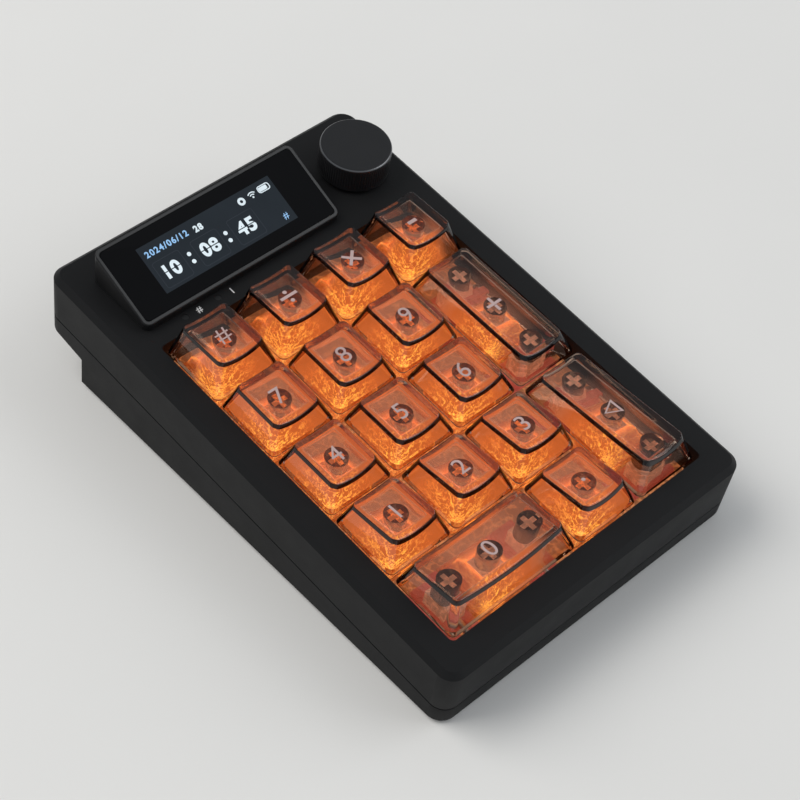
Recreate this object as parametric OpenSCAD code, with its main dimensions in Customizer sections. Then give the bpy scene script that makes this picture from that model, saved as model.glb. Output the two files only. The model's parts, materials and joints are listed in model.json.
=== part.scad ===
// Numeric keypad with a tilted clock screen and a knob that turns and presses.
// Sizes are in millimetres, with the origin under the middle of the part, on the table.
// The key frame has u to the right, v away from the user and w square to the deck.
// Its origin lies on the deck, at the centre of the key block.

/* [Case] */
// Slope of the deck towards the user, in degrees
deck_slope = 4.5; // [3:0.5:7]
// Border between the key opening and the left and right walls
side_border = 6.95; // [6.5:0.05:10]
// Border between the key opening and the front wall
front_border = 7.2; // [6.8:0.1:10]
// Deck behind the key opening
rear_deck = 32.7; // [31:0.1:40]
// Gap between the key block's grid and the opening
opening_gap = 0.4; // [0.3:0.05:1]
// Corner radius of the key opening
opening_r = 1.2; // [0.5:0.1:2]
// Corner radius of the case in plan
case_r = 4; // [3:0.1:6]
// Bevel along the top edges of the case
case_bevel = 1.4; // [0.5:0.1:2]
// Thickness of the case walls
case_wall = 2.2; // [1.6:0.1:2.6]
// Thickness of the deck
deck_t = 3; // [2:0.1:4]
// Thickness of the rim that hangs round the key opening
rim_t = 2.6; // [2:0.1:3]
// Depth of the seam between the two shells under the deck
seam_depth = 13.3; // [12.8:0.1:13.8]
// Height and depth of the shadow line round the seam
seam_line = 0.4; // [0.2:0.1:0.8]
// Thickness of the lower shell's floor
floor_t = 2; // [1.5:0.1:2.4]
// Room from the switch pegs to the underside at the front edge
floor_room = 1.7; // [1.5:0.1:4]
// Depth of the rear edge of the case under the deck
rear_depth = 18; // [17.7:0.1:20]
// Length that the rear of the case overhangs the wedge
overhang = 13; // [10:0.5:18]
// Fall of the overhang's underside towards the wedge
overhang_fall = 1.5; // [0.5:0.1:3]

/* [Feet and screws] */
// Height of a rubber foot
foot_h = 1.2; // [0.8:0.1:3]
// Diameter of a rubber foot
foot_d = 8; // [6:0.5:12]
// Distance of a foot's centre from the edges of the underside
foot_inset = 10; // [9:0.5:16]
// Distance of a screw's axis from the outer walls
screw_inset = 4.3; // [4.1:0.1:4.4]
// Diameter of a screw's shank
screw_d = 1.9; // [1.6:0.1:2]
// Diameter of a screw's head
screw_head_d = 3.8; // [3.4:0.1:4]
// Thickness of a screw's head
screw_head_h = 1.5; // [1:0.1:1.7]
// Length of a screw's shank
screw_len = 8; // [6:0.5:9]
// Thickness of the lower shell under the seam that a screw clamps
screw_clamp = 3; // [2.5:0.1:3.2]
// Diameter of the upper shell's screw bosses
boss_d = 4.8; // [4.4:0.1:5]
// Diameter of the lower shell's screw posts
post_d = 6; // [5.4:0.1:6.4]

/* [Keys] */
// Distance between neighbouring key centres
key_pitch = 19.05; // [18.8:0.05:19.8]
// Gap between the skirts of neighbouring keycaps
cap_gap = 0.95; // [0.75:0.05:1.25]
// Width of a one-unit keycap across its top
cap_top_w = 12.3; // [11.6:0.1:13]
// Depth of a one-unit keycap across its top
cap_top_d = 13.6; // [12.6:0.1:14]
// Rearward shift of a keycap's top
cap_shift = 0.8; // [0:0.1:1]
// Depth of a keycap's skirt below the deck
cap_drop = 1.2; // [0.8:0.1:2]
// Depth of the hollow in a keycap's top
cap_dish = 1; // [0.3:0.1:1.2]
// Thickness of a keycap's roof under the hollow
cap_roof = 0.8; // [0.7:0.1:1.6]
// Thickness of a keycap's walls
cap_wall = 1.3; // [1:0.1:1.4]
// Corner radius of a keycap's skirt
cap_base_r = 1.4; // [1.3:0.1:2]
// Corner radius of a keycap's top
cap_top_r = 1.4; // [1:0.1:2.4]
// Corner radius of the hollow under a keycap's top
cap_hollow_r = 0.6; // [0.3:0.1:0.8]
// Diameter of the post under a keycap
cap_post_d = 5.5; // [5.2:0.1:5.6]
// Downward travel of a key
key_travel = 4; // [3:0.1:4]
// Room left over a switch when its key is down
press_gap = 0.3; // [0.2:0.1:0.6]
// Extra height of the first row's caps
row1_rise = 2.4; // [0:0.1:4]
// Slope of the first row's caps, in degrees, rear edge up
row1_tilt = -3; // [-6:1:9]
// Extra height of the second row's caps
row2_rise = 0.9; // [0:0.1:3]
// Slope of the second row's caps, in degrees
row2_tilt = 0; // [-9:1:6]
// Extra height of the third row's caps
row3_rise = 0.1; // [0:0.1:3]
// Slope of the third row's caps, in degrees
row3_tilt = -1; // [-12:1:3]
// Extra height of the fourth row's caps
row4_rise = 0.1; // [0:0.1:3]
// Slope of the fourth row's caps, in degrees
row4_tilt = -9; // [-13:1:0]
// Extra height of the fifth row's caps
row5_rise = 0.1; // [0:0.1:3]
// Slope of the fifth row's caps, in degrees
row5_tilt = -10; // [-13:1:0]
// Extra height of the upper tall cap
plus_rise = 0.1; // [0:0.1:3]
// Slope of the upper tall cap, in degrees
plus_tilt = -1; // [-4:1:3]
// Extra height of the lower tall cap
enter_rise = 0.2; // [0.1:0.1:3]
// Slope of the lower tall cap, in degrees
enter_tilt = -6; // [-7:1:0]

/* [Switches] */
// Side of a switch hole in the plate
switch_hole = 14; // [13.9:0.05:14.2]
// Thickness of the switch plate
plate_t = 1.5; // [1.2:0.1:1.6]
// Lap of the plate under the rim of the key opening
plate_lap = 2.2; // [1.5:0.1:2.4]
// Height of a switch's upper housing above the plate
switch_rise = 6.6; // [6.2:0.1:7]
// Gap between a switch's housing and the level of the cap skirts
skirt_gap = 0.4; // [0.3:0.1:1]
// Side of a switch's flange on the plate
flange_side = 14.8; // [14.5:0.1:14.9]
// Thickness of a switch's flange
flange_t = 1; // [0.8:0.1:1.2]
// Side of a switch's roof
roof_side = 9.4; // [9.2:0.1:9.6]
// Thickness of a switch housing's walls
housing_wall = 1.2; // [0.9:0.1:1.3]
// Width of a switch's stem at its shoulder
stem_shoulder_w = 7.6; // [7.2:0.1:7.8]
// Width of a switch's stem at its neck
stem_neck_w = 6.4; // [6.1:0.1:6.6]
// Depth of a switch's stem
stem_d = 5.5; // [5.3:0.1:5.7]
// Height of the cross on a stem
cross_h = 3.6; // [3:0.1:3.7]
// Length of the bars of the cross
cross_len = 4; // [3.8:0.05:4.1]
// Thickness of the bars of the cross
cross_t = 1.2; // [1.1:0.05:1.3]
// Diameter of a stem's guide pin
pin_d = 2.6; // [2:0.1:2.8]
// Diameter of the peg under a switch
peg_d = 3.9; // [3.7:0.1:4]
// Length of the peg under a switch
peg_len = 3.3; // [3:0.1:3.5]
// Outer diameter of a return spring
spring_d = 4.8; // [4.6:0.1:5.2]
// Thickness of a return spring
spring_t = 0.5; // [0.3:0.1:0.5]
// Sliding clearance inside a switch
slide_gap = 0.2; // [0.15:0.05:0.25]

/* [Stabilisers] */
// Distance from a long key's centre to each stabiliser
stab_reach = 11.938; // [11.8:0.05:12.2]
// Height of a stabiliser housing above the plate
stab_h = 2.6; // [2.4:0.1:2.7]
// Width of a stabiliser slider
slider_w = 4; // [3.8:0.1:4.2]
// Depth of a stabiliser slider
slider_d = 6.4; // [6:0.1:6.8]
// Thickness of a stabiliser housing's walls
stab_wall = 1; // [0.8:0.1:1.2]
// Diameter of a stabiliser wire
wire_d = 1.5; // [1.3:0.1:1.6]
// Length of a wire's arms
wire_arm = 8; // [7.6:0.1:8.2]
// Distance of a wire's axis from the row of sliders
wire_reach = 8.4; // [8.2:0.1:8.6]
// Height of a wire's axis above the plate
wire_rise = 1.3; // [1.2:0.05:1.4]

/* [Board] */
// Distance from the top of the plate to the board
board_gap = 5; // [4.9:0.1:5.4]
// Thickness of the main board
board_t = 1.6; // [1.2:0.1:1.6]
// Gap between the board's side edges and the case's inner walls
board_inset = 5.85; // [5.7:0.05:7]
// Gap between the board's rear edge and the rear wall's outside
board_rear = 4.2; // [4:0.1:5]
// Length of a backlight lamp
lamp_w = 3.2; // [2.8:0.1:3.6]
// Depth of a backlight lamp
lamp_d = 2.8; // [2:0.1:2.8]
// Height of a backlight lamp
lamp_h = 1.2; // [0.8:0.1:1.3]
// Distance of a lamp in front of its switch's centre
lamp_offset = 5; // [4.9:0.05:5.2]
// Diameter of an indicator light pipe
pipe_d = 1.5; // [1:0.1:1.5]
// Distance of the indicators behind the key opening
pipe_offset = 3.5; // [3.45:0.05:3.8]
// Length of the battery
battery_w = 56; // [40:1:64]
// Depth of the battery
battery_d = 32; // [24:1:34]
// Thickness of the battery
battery_h = 4.6; // [3:0.1:4.8]

/* [Screen] */
// Width of the screen pod
pod_w = 58; // [54:0.5:59]
// Depth of the screen pod on the deck
pod_d = 20; // [18:0.1:21]
// Height of the pod's front edge
pod_front_h = 2; // [1.8:0.1:4]
// Slope of the screen against the deck, in degrees
pod_slope = 19.4; // [18:0.1:25]
// Distance from the key opening to the pod
pod_offset = 4.9; // [4.8:0.1:6]
// Distance from the pod's middle to the case's middle, to the left
pod_left = 9.55; // [9:0.05:12]
// Corner radius of the pod in plan
pod_r = 1.8; // [1.7:0.1:3]
// Width of the pod's rim round the glass
pod_rim = 0.9; // [0.7:0.1:1.4]
// Width of the ledge that carries the glass
pod_ledge = 1; // [0.7:0.1:1.1]
// Thickness of the screen glass
glass_t = 1; // [0.8:0.1:1.2]
// Width of the display panel
panel_w = 46; // [40:0.5:48]
// Depth of the display panel
panel_d = 13; // [12:0.1:13.2]
// Thickness of the display panel
panel_t = 1.8; // [1:0.1:2]
// Width of the display's ribbon
ribbon_w = 10; // [6:0.5:14]
// Thickness of the display's ribbon
ribbon_t = 0.4; // [0.3:0.1:1]

/* [Knob] */
// Diameter of the knob
knob_d = 17.5; // [16:0.1:19]
// Height of the knob
knob_h = 7.3; // [6.5:0.1:9]
// Gap between the knob and the deck
knob_gap = 0.9; // [0.8:0.1:1.5]
// Bevel round the knob's top edge
knob_bevel = 0.6; // [0.3:0.1:1]
// Distance of the knob's axis from the right wall
knob_right = 12.6; // [12:0.1:14]
// Distance of the knob's axis from the rear wall
knob_rear = 17.2; // [16:0.1:19]
// Downward travel of the knob
knob_travel = 0.5; // [0.3:0.1:0.6]
// Diameter of the encoder's shaft
shaft_d = 6; // [5:0.1:6]
// Depth of the flat on the shaft
shaft_flat = 1.5; // [1:0.1:2]
// Thickness of the knob over the end of the shaft
knob_roof = 1.4; // [1:0.1:2]
// Side of the encoder's body
encoder_side = 11.8; // [11:0.1:13]
// Height of the encoder's body
encoder_h = 6.4; // [6:0.1:7]
// Diameter of the encoder's bush
bush_d = 7.2; // [7:0.1:7.6]

/* [Rear] */
// Width of the charging port's shell
port_w = 8.94; // [8.9:0.01:9]
// Height of the charging port's shell
port_h = 3.26; // [3.2:0.01:3.3]
// Length of the charging port's shell
port_len = 7.35; // [7:0.05:7.6]
// Thickness of the charging port's shell
port_t = 0.35; // [0.3:0.01:0.4]
// Width of the port's tongue
tongue_w = 6.7; // [6.6:0.05:6.8]
// Thickness of the port's tongue
tongue_t = 0.7; // [0.6:0.05:0.8]
// Distance of the mode switch from the middle, to the left
mode_left = 20; // [14:0.5:24]
// Travel of the mode slider to each side
mode_travel = 2; // [1:0.1:2.5]
// Width of the mode switch's body
mode_w = 9.4; // [9.3:0.1:11]
// Height of the mode switch's body
mode_h = 3.4; // [3.2:0.1:3.8]
// Width of the mode slider's grip
grip_w = 1.8; // [1.4:0.1:2]
// Height of the mode slider's grip
grip_h = 1.4; // [1:0.1:1.6]
// Width of the mode slider's foot
mode_foot_w = 3; // [2.6:0.1:3.2]

/* [Hidden] */
$fn = 48;
// Clearance between pieces that only sit beside each other
seat_gap = 0.1;
// Clearance between moving pieces and the case
run_gap = 0.3;
// Clearance between a cross and its socket
cross_gap = 0.05;
// Overshoot of cutting shapes
cut = 1;
// Thickness of the slices that a hull joins
slice = 0.01;
// Facets of a hull's rounded corners
hull_fn = 24;
// Flat land beside the hollow in a keycap's top
dish_land = 0.4;
// Facets of the hollow in a keycap's top
dish_fn = 256;

case_half_w = 2 * key_pitch + opening_gap + side_border;
opening_w = 4 * key_pitch + 2 * opening_gap;
opening_d = 5 * key_pitch + 2 * opening_gap;
front_v = -opening_d / 2 - front_border;
rear_v = opening_d / 2 + rear_deck;
mid_v = (front_v + rear_v) / 2;
case_len = rear_v - front_v;
wedge_v = rear_v - overhang;

plate_w = -cap_drop - skirt_gap - switch_rise;
board_w = plate_w - board_gap;
front_depth = board_gap + peg_len + floor_room - plate_w;
floor_rise = floor_t / cos(deck_slope);
function underside(v) = -front_depth - (v - front_v) * tan(deck_slope);

// The table frame: the underside of the wedge is level, one foot above the table
function table_y(v, w) = v * cos(deck_slope) - w * sin(deck_slope);
function table_z(v, w) = v * sin(deck_slope) + w * cos(deck_slope);
front_y = table_y(front_v, -case_bevel);
rear_y = table_y(rear_v, -rear_depth);
shift_y = -(front_y + rear_y) / 2;
shift_z = foot_h - table_z(front_v, -front_depth);

// Width of a one-unit keycap at its skirt
cap_base = key_pitch - cap_gap;
// Keys: name, column, row, columns spanned, rows spanned, extra height, slope
KEYS = [
    ["num", 0, 0, 1, 1, row1_rise, row1_tilt],
    ["divide", 1, 0, 1, 1, row1_rise, row1_tilt],
    ["multiply", 2, 0, 1, 1, row1_rise, row1_tilt],
    ["minus", 3, 0, 1, 1, row1_rise, row1_tilt],
    ["seven", 0, 1, 1, 1, row2_rise, row2_tilt],
    ["eight", 1, 1, 1, 1, row2_rise, row2_tilt],
    ["nine", 2, 1, 1, 1, row2_rise, row2_tilt],
    ["plus", 3, 1, 1, 2, plus_rise, plus_tilt],
    ["four", 0, 2, 1, 1, row3_rise, row3_tilt],
    ["five", 1, 2, 1, 1, row3_rise, row3_tilt],
    ["six", 2, 2, 1, 1, row3_rise, row3_tilt],
    ["one", 0, 3, 1, 1, row4_rise, row4_tilt],
    ["two", 1, 3, 1, 1, row4_rise, row4_tilt],
    ["three", 2, 3, 1, 1, row4_rise, row4_tilt],
    ["enter", 3, 3, 1, 2, enter_rise, enter_tilt],
    ["zero", 0, 4, 2, 1, row5_rise, row5_tilt],
    ["point", 2, 4, 1, 1, row5_rise, row5_tilt],
];
function key_name(key) = key[0];
function key_u(key) = (key[1] + (key[3] - 1) / 2 - 1.5) * key_pitch;
function key_v(key) = (2 - key[2] - (key[4] - 1) / 2) * key_pitch;
function key_wide(key) = key[3] > 1;
function key_long(key) = key[3] * key[4] > 1;
function cap_w(key) = (key[3] - 1) * key_pitch + cap_base;
function cap_d(key) = (key[4] - 1) * key_pitch + cap_base;
function crown_w(key) = cap_w(key) - cap_base + cap_top_w;
function crown_d(key) = cap_d(key) - cap_base + cap_top_d;

// Heights of a cap above its skirt: its lowest crown still clears the switch when pressed
crown_under = key_travel + press_gap - skirt_gap;
function tilt_room(key) = roof_side / 2 * abs(tan(key[6]));
function hollow_top(key) = crown_under + tilt_room(key) + key[5];
function crown_top(key) = hollow_top(key) + cap_roof + cap_dish;
LONG_KEYS = [for (key = KEYS) if (key_long(key)) key];

// Switch heights over the plate, with the stem's pin held in the guide tube at rest
stem_low = 0.8;
pin_hold = 0.8;
shoulder_top = switch_rise - housing_wall - slide_gap;
chamber_floor = housing_wall - board_gap;
tube_h = 0.6;
pin_low = chamber_floor + tube_h - pin_hold;
cavity_side = switch_hole - 2 * housing_wall;
pin_hole_d = pin_d + 2 * slide_gap;
window_h = lamp_h + 2 * slide_gap;

// Stabilisers: the wire swings to both sides of level over the key's travel
wire_swing = asin(key_travel / 2 / wire_arm);
slider_low = stem_low + seat_gap;
slot_mid = wire_rise + key_travel / 2;
slot_half = key_travel / 2 - (wire_reach - slider_d / 2) * tan(wire_swing)
    + wire_d / 2 / cos(wire_swing) + slide_gap;
stab_w = slider_w + 2 * (slide_gap + stab_wall);
stab_d = 13;
stab_lip = 0.7;
// Lug that the wire turns in: its thickness, its wall and its gap to the wire's arm
lug_t = 2;
lug_wall = 0.45;
lug_gap = 1.1;

pod_front = opening_d / 2 + pod_offset;
pod_mid_v = pod_front + pod_d / 2;
pod_len = pod_d / cos(pod_slope);
glass_w = pod_w - 2 * pod_rim;
glass_d = pod_len - 2 * pod_rim;
ribbon_v = pod_mid_v + 1;

knob_u = case_half_w - knob_right;
knob_v = rear_v - knob_rear;
encoder_top = board_w + encoder_h;
shaft_top = knob_gap + knob_h - knob_roof - seat_gap;
// The plunger fills the lower part of the encoder's bore, and the shaft stands on it
plunger_h = 2.2;
encoder_floor = 1.2;
plunger_top = board_w + encoder_floor + run_gap + knob_travel + plunger_h;

screw_u = case_half_w - screw_inset;
screw_front = front_v + screw_inset;
screw_rear = rear_v - screw_inset;
screw_seat = -seam_depth - screw_clamp;
SCREWS = [
    [-screw_u, screw_front], [screw_u, screw_front],
    [-screw_u, screw_rear], [screw_u, screw_rear],
];

board_half_w = case_half_w - case_wall - board_inset;
board_front = run_gap - opening_d / 2;
board_back = rear_v - board_rear;
port_mid = board_w - board_t / 2;
port_back = rear_v - run_gap;
// Setback of the port's tongue from its mouth
tongue_back = 1;
mode_mid = board_w + mode_h / 2;
mode_d = 3.4;
mode_wall = 1;
mode_front = board_back - mode_d;
PIPES = [-1.5 * key_pitch, -key_pitch];
pipe_v = opening_d / 2 + pipe_offset;

CASE_INK = [0.11, 0.11, 0.12];
CAP_SMOKE = [0.55, 0.38, 0.32, 0.75];

// Frames

module key_frame() {
    translate([0, shift_y, shift_z]) rotate([deck_slope, 0, 0]) children();
}

module at_key(key) {
    key_frame() translate([key_u(key), key_v(key), plate_w]) children();
}

// Turns a long key's own row along its length
module along(key) {
    rotate([0, 0, key_wide(key) ? 0 : 90]) children();
}

// The sloped face of the pod, with its origin at the middle of the face
module on_screen() {
    translate([-pod_left, pod_front, pod_front_h]) rotate([pod_slope, 0, 0])
        translate([0, pod_len / 2, 0]) children();
}

// Shared shapes

module rounded(w, d, r) {
    square([w - 2 * r, d], center = true);
    square([w, d - 2 * r], center = true);
    for (x = [-1, 1], y = [-1, 1])
        translate([x * (w / 2 - r), y * (d / 2 - r)]) circle(r);
}

module block(w, d, low, high) {
    translate([-w / 2, -d / 2, low]) cube([w, d, high - low]);
}

module rod(d, low, high) {
    translate([0, 0, low]) cylinder(d = d, h = high - low);
}

// A frustum with flat sides that lean in from a square foot to a square top
module frustum(foot, top, low, high) {
    outline = [[-foot / 2, low], [foot / 2, low], [top / 2, high], [-top / 2, high]];
    intersection() {
        rotate([90, 0, 0]) linear_extrude(foot, center = true) polygon(outline);
        rotate([90, 0, 90]) linear_extrude(foot, center = true) polygon(outline);
    }
}

module cross(gap, low, high) {
    block(cross_len + 2 * gap, cross_t + 2 * gap, low, high);
    block(cross_t + 2 * gap, cross_len + 2 * gap, low, high);
}

// A side view of the case, drawn in v and w, carried across its whole width
module side_slab(w) {
    rotate([90, 0, 90]) linear_extrude(w, center = true) children();
}

module case_plan(inset) {
    translate([0, mid_v])
        rounded(2 * (case_half_w - inset), case_len - 2 * inset, case_r - inset);
}

module port_plan(gap) {
    rounded(port_w + 2 * gap, port_h + 2 * gap, port_h / 2 + gap - slice);
}

// A hole through the rear wall for the charging port
module port_hole() {
    translate([0, rear_v + cut, port_mid]) rotate([90, 0, 0])
        linear_extrude(case_wall + 2 * cut) port_plan(2 * seat_gap);
}

// Case

module bevelled_case() {
    bevel_end = seam_depth - case_bevel;
    for (side = [0, 1]) {
        half = side == 0 ? case_half_w : case_len / 2;
        run = 2 * (side == 0 ? case_len / 2 - case_r : case_half_w - case_r);
        rotate([90, 0, side == 0 ? 0 : 90]) linear_extrude(run, center = true)
            polygon([
                [-half, 0], [half, 0], [half, bevel_end], [half - case_bevel, seam_depth],
                [case_bevel - half, seam_depth], [-half, bevel_end],
            ]);
    }
    for (x = [-1, 1], y = [-1, 1])
        translate([x * (case_half_w - case_r), y * (case_len / 2 - case_r), 0]) {
            cylinder(r = case_r, h = bevel_end);
            translate([0, 0, bevel_end])
                cylinder(r1 = case_r, r2 = case_r - case_bevel, h = case_bevel);
        }
}

module upper_case() {
    color(CASE_INK) key_frame() difference() {
        union() {
            difference() {
                translate([0, mid_v, -seam_depth]) bevelled_case();
                translate([0, 0, -seam_depth - cut])
                    linear_extrude(seam_depth + cut - deck_t) case_plan(case_wall);
            }
            translate([0, 0, plate_w]) linear_extrude(-plate_w - deck_t / 2)
                rounded(opening_w + 2 * rim_t, opening_d + 2 * rim_t, opening_r + rim_t);
            for (spot = SCREWS)
                translate(spot) rod(boss_d, -seam_depth, -deck_t / 2);
        }
        translate([0, 0, plate_w - cut]) linear_extrude(2 * cut - plate_w)
            rounded(opening_w, opening_d, opening_r);
        for (spot = SCREWS)
            translate(spot) rod(screw_d + seat_gap, -seam_depth - cut, screw_seat + screw_len + cut);
        translate([knob_u, knob_v]) rod(bush_d + 2 * seat_gap, -seam_depth, cut);
        translate([-pod_left, ribbon_v])
            block(ribbon_w + 2 * cut, ribbon_t + 2 * cut, -deck_t - cut, cut);
        for (u = PIPES)
            translate([u, pipe_v]) rod(pipe_d + seat_gap, -seam_depth, cut);
        for (key = LONG_KEYS)
            translate([key_u(key), key_v(key), plate_w]) along(key) wire_relief();
        port_hole();
        mode_slot();
    }
}

// Room that the rim leaves for a stabiliser's wire and lugs
module wire_relief() {
    relief_w = 2 * stab_reach + wire_d + 2 * run_gap;
    relief_d = wire_reach + wire_d / 2 + lug_wall + run_gap;
    translate([0, -relief_d / 2, 0]) block(relief_w, relief_d, -cut, stab_h + run_gap);
}

module lower_side_view(wall, floor, top) {
    polygon([
        [front_v + wall, top],
        [front_v + wall, underside(front_v + wall) + floor],
        [wedge_v - wall, underside(wedge_v - wall) + floor],
        [wedge_v - wall, floor - rear_depth - overhang_fall],
        [rear_v - wall, floor - rear_depth],
        [rear_v - wall, top],
    ]);
}

module lower_case_block() {
    depth = -underside(wedge_v) + cut;
    intersection() {
        translate([0, 0, -depth]) linear_extrude(depth - seam_depth) case_plan(0);
        side_slab(2 * case_half_w) lower_side_view(0, 0, 0);
    }
}

// Shadow line round the top of the lower shell
module seam_groove() {
    translate([0, 0, -seam_depth - seam_line]) linear_extrude(seam_line + cut) difference() {
        case_plan(-cut);
        case_plan(seam_line);
    }
}

module lower_case() {
    depth = -underside(wedge_v) + cut;
    color(CASE_INK) key_frame() difference() {
        union() {
            difference() {
                lower_case_block();
                intersection() {
                    translate([0, 0, -depth]) linear_extrude(depth) case_plan(case_wall);
                    side_slab(2 * case_half_w) lower_side_view(case_wall, floor_rise, 0);
                }
            }
            intersection() {
                lower_case_block();
                for (spot = SCREWS)
                    translate(spot) rod(post_d, -depth, -seam_depth);
            }
        }
        for (spot = SCREWS) {
            translate(spot) rod(screw_d + 2 * seat_gap, -depth, 0);
            translate(spot) rod(screw_head_d + 2 * seat_gap, -depth, screw_seat);
        }
        port_hole();
        seam_groove();
    }
}

module case_screws() {
    color([0.5, 0.5, 0.52]) key_frame() for (spot = SCREWS)
        translate(spot) {
            rod(screw_d, screw_seat - screw_head_h / 2, screw_seat + screw_len);
            rod(screw_head_d, screw_seat - screw_head_h, screw_seat);
        }
}

module rubber_feet() {
    front = shift_y + table_y(front_v, -front_depth) + foot_inset;
    back = shift_y + table_y(wedge_v, underside(wedge_v)) - foot_inset;
    color([0.06, 0.06, 0.06]) for (x = [-1, 1], y = [front, back])
        translate([x * (case_half_w - foot_inset), y]) cylinder(d = foot_d, h = foot_h);
}

// Keys

module cap_shape(key, inset, top_r, high, low) {
    hull($fn = hull_fn) {
        translate([0, 0, low]) linear_extrude(slice, $fn = hull_fn)
            rounded(cap_w(key) - 2 * inset, cap_d(key) - 2 * inset, cap_base_r);
        translate([0, cap_shift, high]) rotate([key[6], 0, 0]) translate([0, 0, -slice])
            linear_extrude(slice, $fn = hull_fn)
                rounded(crown_w(key) - 2 * inset, crown_d(key) - 2 * inset, top_r);
    }
}

module cap_hollow(key) {
    chord = crown_w(key) / 2 - dish_land;
    radius = (chord * chord + cap_dish * cap_dish) / (2 * cap_dish);
    translate([0, cap_shift, crown_top(key)]) rotate([key[6], 0, 0])
        translate([0, 0, radius - cap_dish]) rotate([90, 0, 0])
            cylinder(r = radius, h = 2 * cap_d(key), center = true, $fn = dish_fn);
}

module at_posts(key) {
    reach = key_long(key) ? [-stab_reach, 0, stab_reach] : [0];
    along(key) for (x = reach) translate([x, 0, 0]) children();
}

module keycap(key) {
    skirt = switch_rise + skirt_gap;
    color(CAP_SMOKE) at_key(key) translate([0, 0, skirt]) difference() {
        cap_shape(key, 0, cap_top_r, crown_top(key), 0);
        difference() {
            cap_shape(key, cap_wall, cap_hollow_r, hollow_top(key), -slice);
            at_posts(key) rod(cap_post_d, -cut, crown_top(key) + cap_w(key));
        }
        cap_hollow(key);
        at_posts(key) cross(cross_gap, -cut, switch_rise + cross_h + cross_gap - skirt);
    }
}

module stem(key) {
    color([0.32, 0.2, 0.14]) at_key(key) {
        block(stem_shoulder_w, stem_d, stem_low, shoulder_top);
        block(stem_neck_w, stem_d, shoulder_top, switch_rise);
        cross(0, switch_rise, switch_rise + cross_h);
        rod(pin_d, pin_low, stem_low);
        if (key_long(key))
            along(key) for (x = [-stab_reach, stab_reach]) translate([x, 0, 0]) stab_slider();
    }
}

module switch_top() {
    difference() {
        frustum(switch_hole, roof_side, flange_t, switch_rise);
        frustum(cavity_side, roof_side - housing_wall, flange_t, switch_rise - housing_wall);
        block(stem_neck_w + 2 * slide_gap, stem_d + 2 * slide_gap, flange_t, switch_rise + cut);
    }
}

module switch_base() {
    window_d = switch_hole / 2 - lamp_offset + lamp_d / 2 + slide_gap;
    difference() {
        union() {
            block(switch_hole - seat_gap, switch_hole - seat_gap, -board_gap, flange_t / 2);
            block(flange_side, flange_side, 0, flange_t);
            rod(peg_d, -board_gap - peg_len, -board_gap);
        }
        block(cavity_side, cavity_side, chamber_floor, flange_t + cut);
        rod(pin_hole_d, -board_gap - peg_len - cut, chamber_floor + cut);
        translate([0, -switch_hole / 2 + window_d / 2 - cut / 2, 0])
            block(lamp_w + 2 * run_gap, window_d + cut, -board_gap - cut, window_h - board_gap);
    }
    difference() {
        rod(spring_d - 2 * spring_t - 2 * slide_gap, chamber_floor, chamber_floor + tube_h);
        rod(pin_hole_d, chamber_floor - cut, chamber_floor + tube_h + cut);
    }
}

module switch_tops() {
    color([0.95, 0.85, 0.75, 0.6]) for (key = KEYS) at_key(key) switch_top();
}

module switch_bases() {
    color([0.9, 0.75, 0.65, 0.6]) for (key = KEYS) at_key(key) switch_base();
}

module switch_springs() {
    color([0.8, 0.8, 0.8]) for (key = KEYS) at_key(key) difference() {
        rod(spring_d, chamber_floor, stem_low);
        rod(spring_d - 2 * spring_t, chamber_floor - cut, stem_low + cut);
    }
}

module switch_plate() {
    w = opening_w + 2 * plate_lap;
    d = opening_d + 2 * plate_lap;
    notch = screw_inset + boss_d / 2 + run_gap;
    color([0.85, 0.83, 0.8]) key_frame() translate([0, 0, plate_w - plate_t])
        linear_extrude(plate_t) difference() {
            square([w, d], center = true);
            for (x = [-1, 1])
                translate([x * case_half_w, front_v]) square(2 * notch, center = true);
            for (key = KEYS) translate([key_u(key), key_v(key)]) {
                square(switch_hole, center = true);
                if (key_long(key))
                    along(key) for (x = [-stab_reach, stab_reach])
                        translate([x, 0]) square([stab_w, stab_d] + [1, 1] * seat_gap, center = true);
            }
        }
}

// Stabilisers, drawn with the long key's row along x and the wire at its front

module stab_slider() {
    slot_w = wire_d + 2 * slide_gap;
    slot_end = wire_reach - wire_arm - slide_gap;
    slot_d = slider_d / 2 - slot_end;
    difference() {
        block(slider_w, slider_d, slider_low, switch_rise);
        translate([0, -slot_end - slot_d / 2 - cut / 2, 0])
            block(slot_w, slot_d + cut, slot_mid - slot_half, slot_mid + slot_half);
    }
    cross(0, switch_rise, switch_rise + cross_h);
}

module stab_housing() {
    lip_w = stab_w + 2 * stab_lip;
    lip_d = stab_d + 2 * stab_lip;
    difference() {
        union() {
            block(stab_w, stab_d, -plate_t, stab_h);
            block(lip_w, lip_d, 0, stab_lip);
            translate([-lug_gap - lug_t, -wire_reach - wire_d / 2 - lug_wall, 0])
                cube([lug_t, wire_reach + wire_d / 2 + lug_wall - slider_d / 2 - stab_wall, stab_h]);
        }
        block(slider_w + 2 * slide_gap, slider_d + 2 * slide_gap, -plate_t - cut, stab_h + cut);
        translate([0, -lip_d / 2, 0])
            block(wire_d + 2 * run_gap, lip_d, -plate_t - cut, stab_h + cut);
        translate([0, -wire_reach, wire_rise]) rotate([0, 90, 0])
            cylinder(d = wire_d + seat_gap, h = 4 * lug_t, center = true);
    }
}

module stabiliser_housings() {
    color([0.75, 0.1, 0.1]) for (key = LONG_KEYS) at_key(key) along(key)
        for (side = [0, 1])
            mirror([side, 0, 0]) translate([stab_reach, 0, 0]) stab_housing();
}

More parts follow.
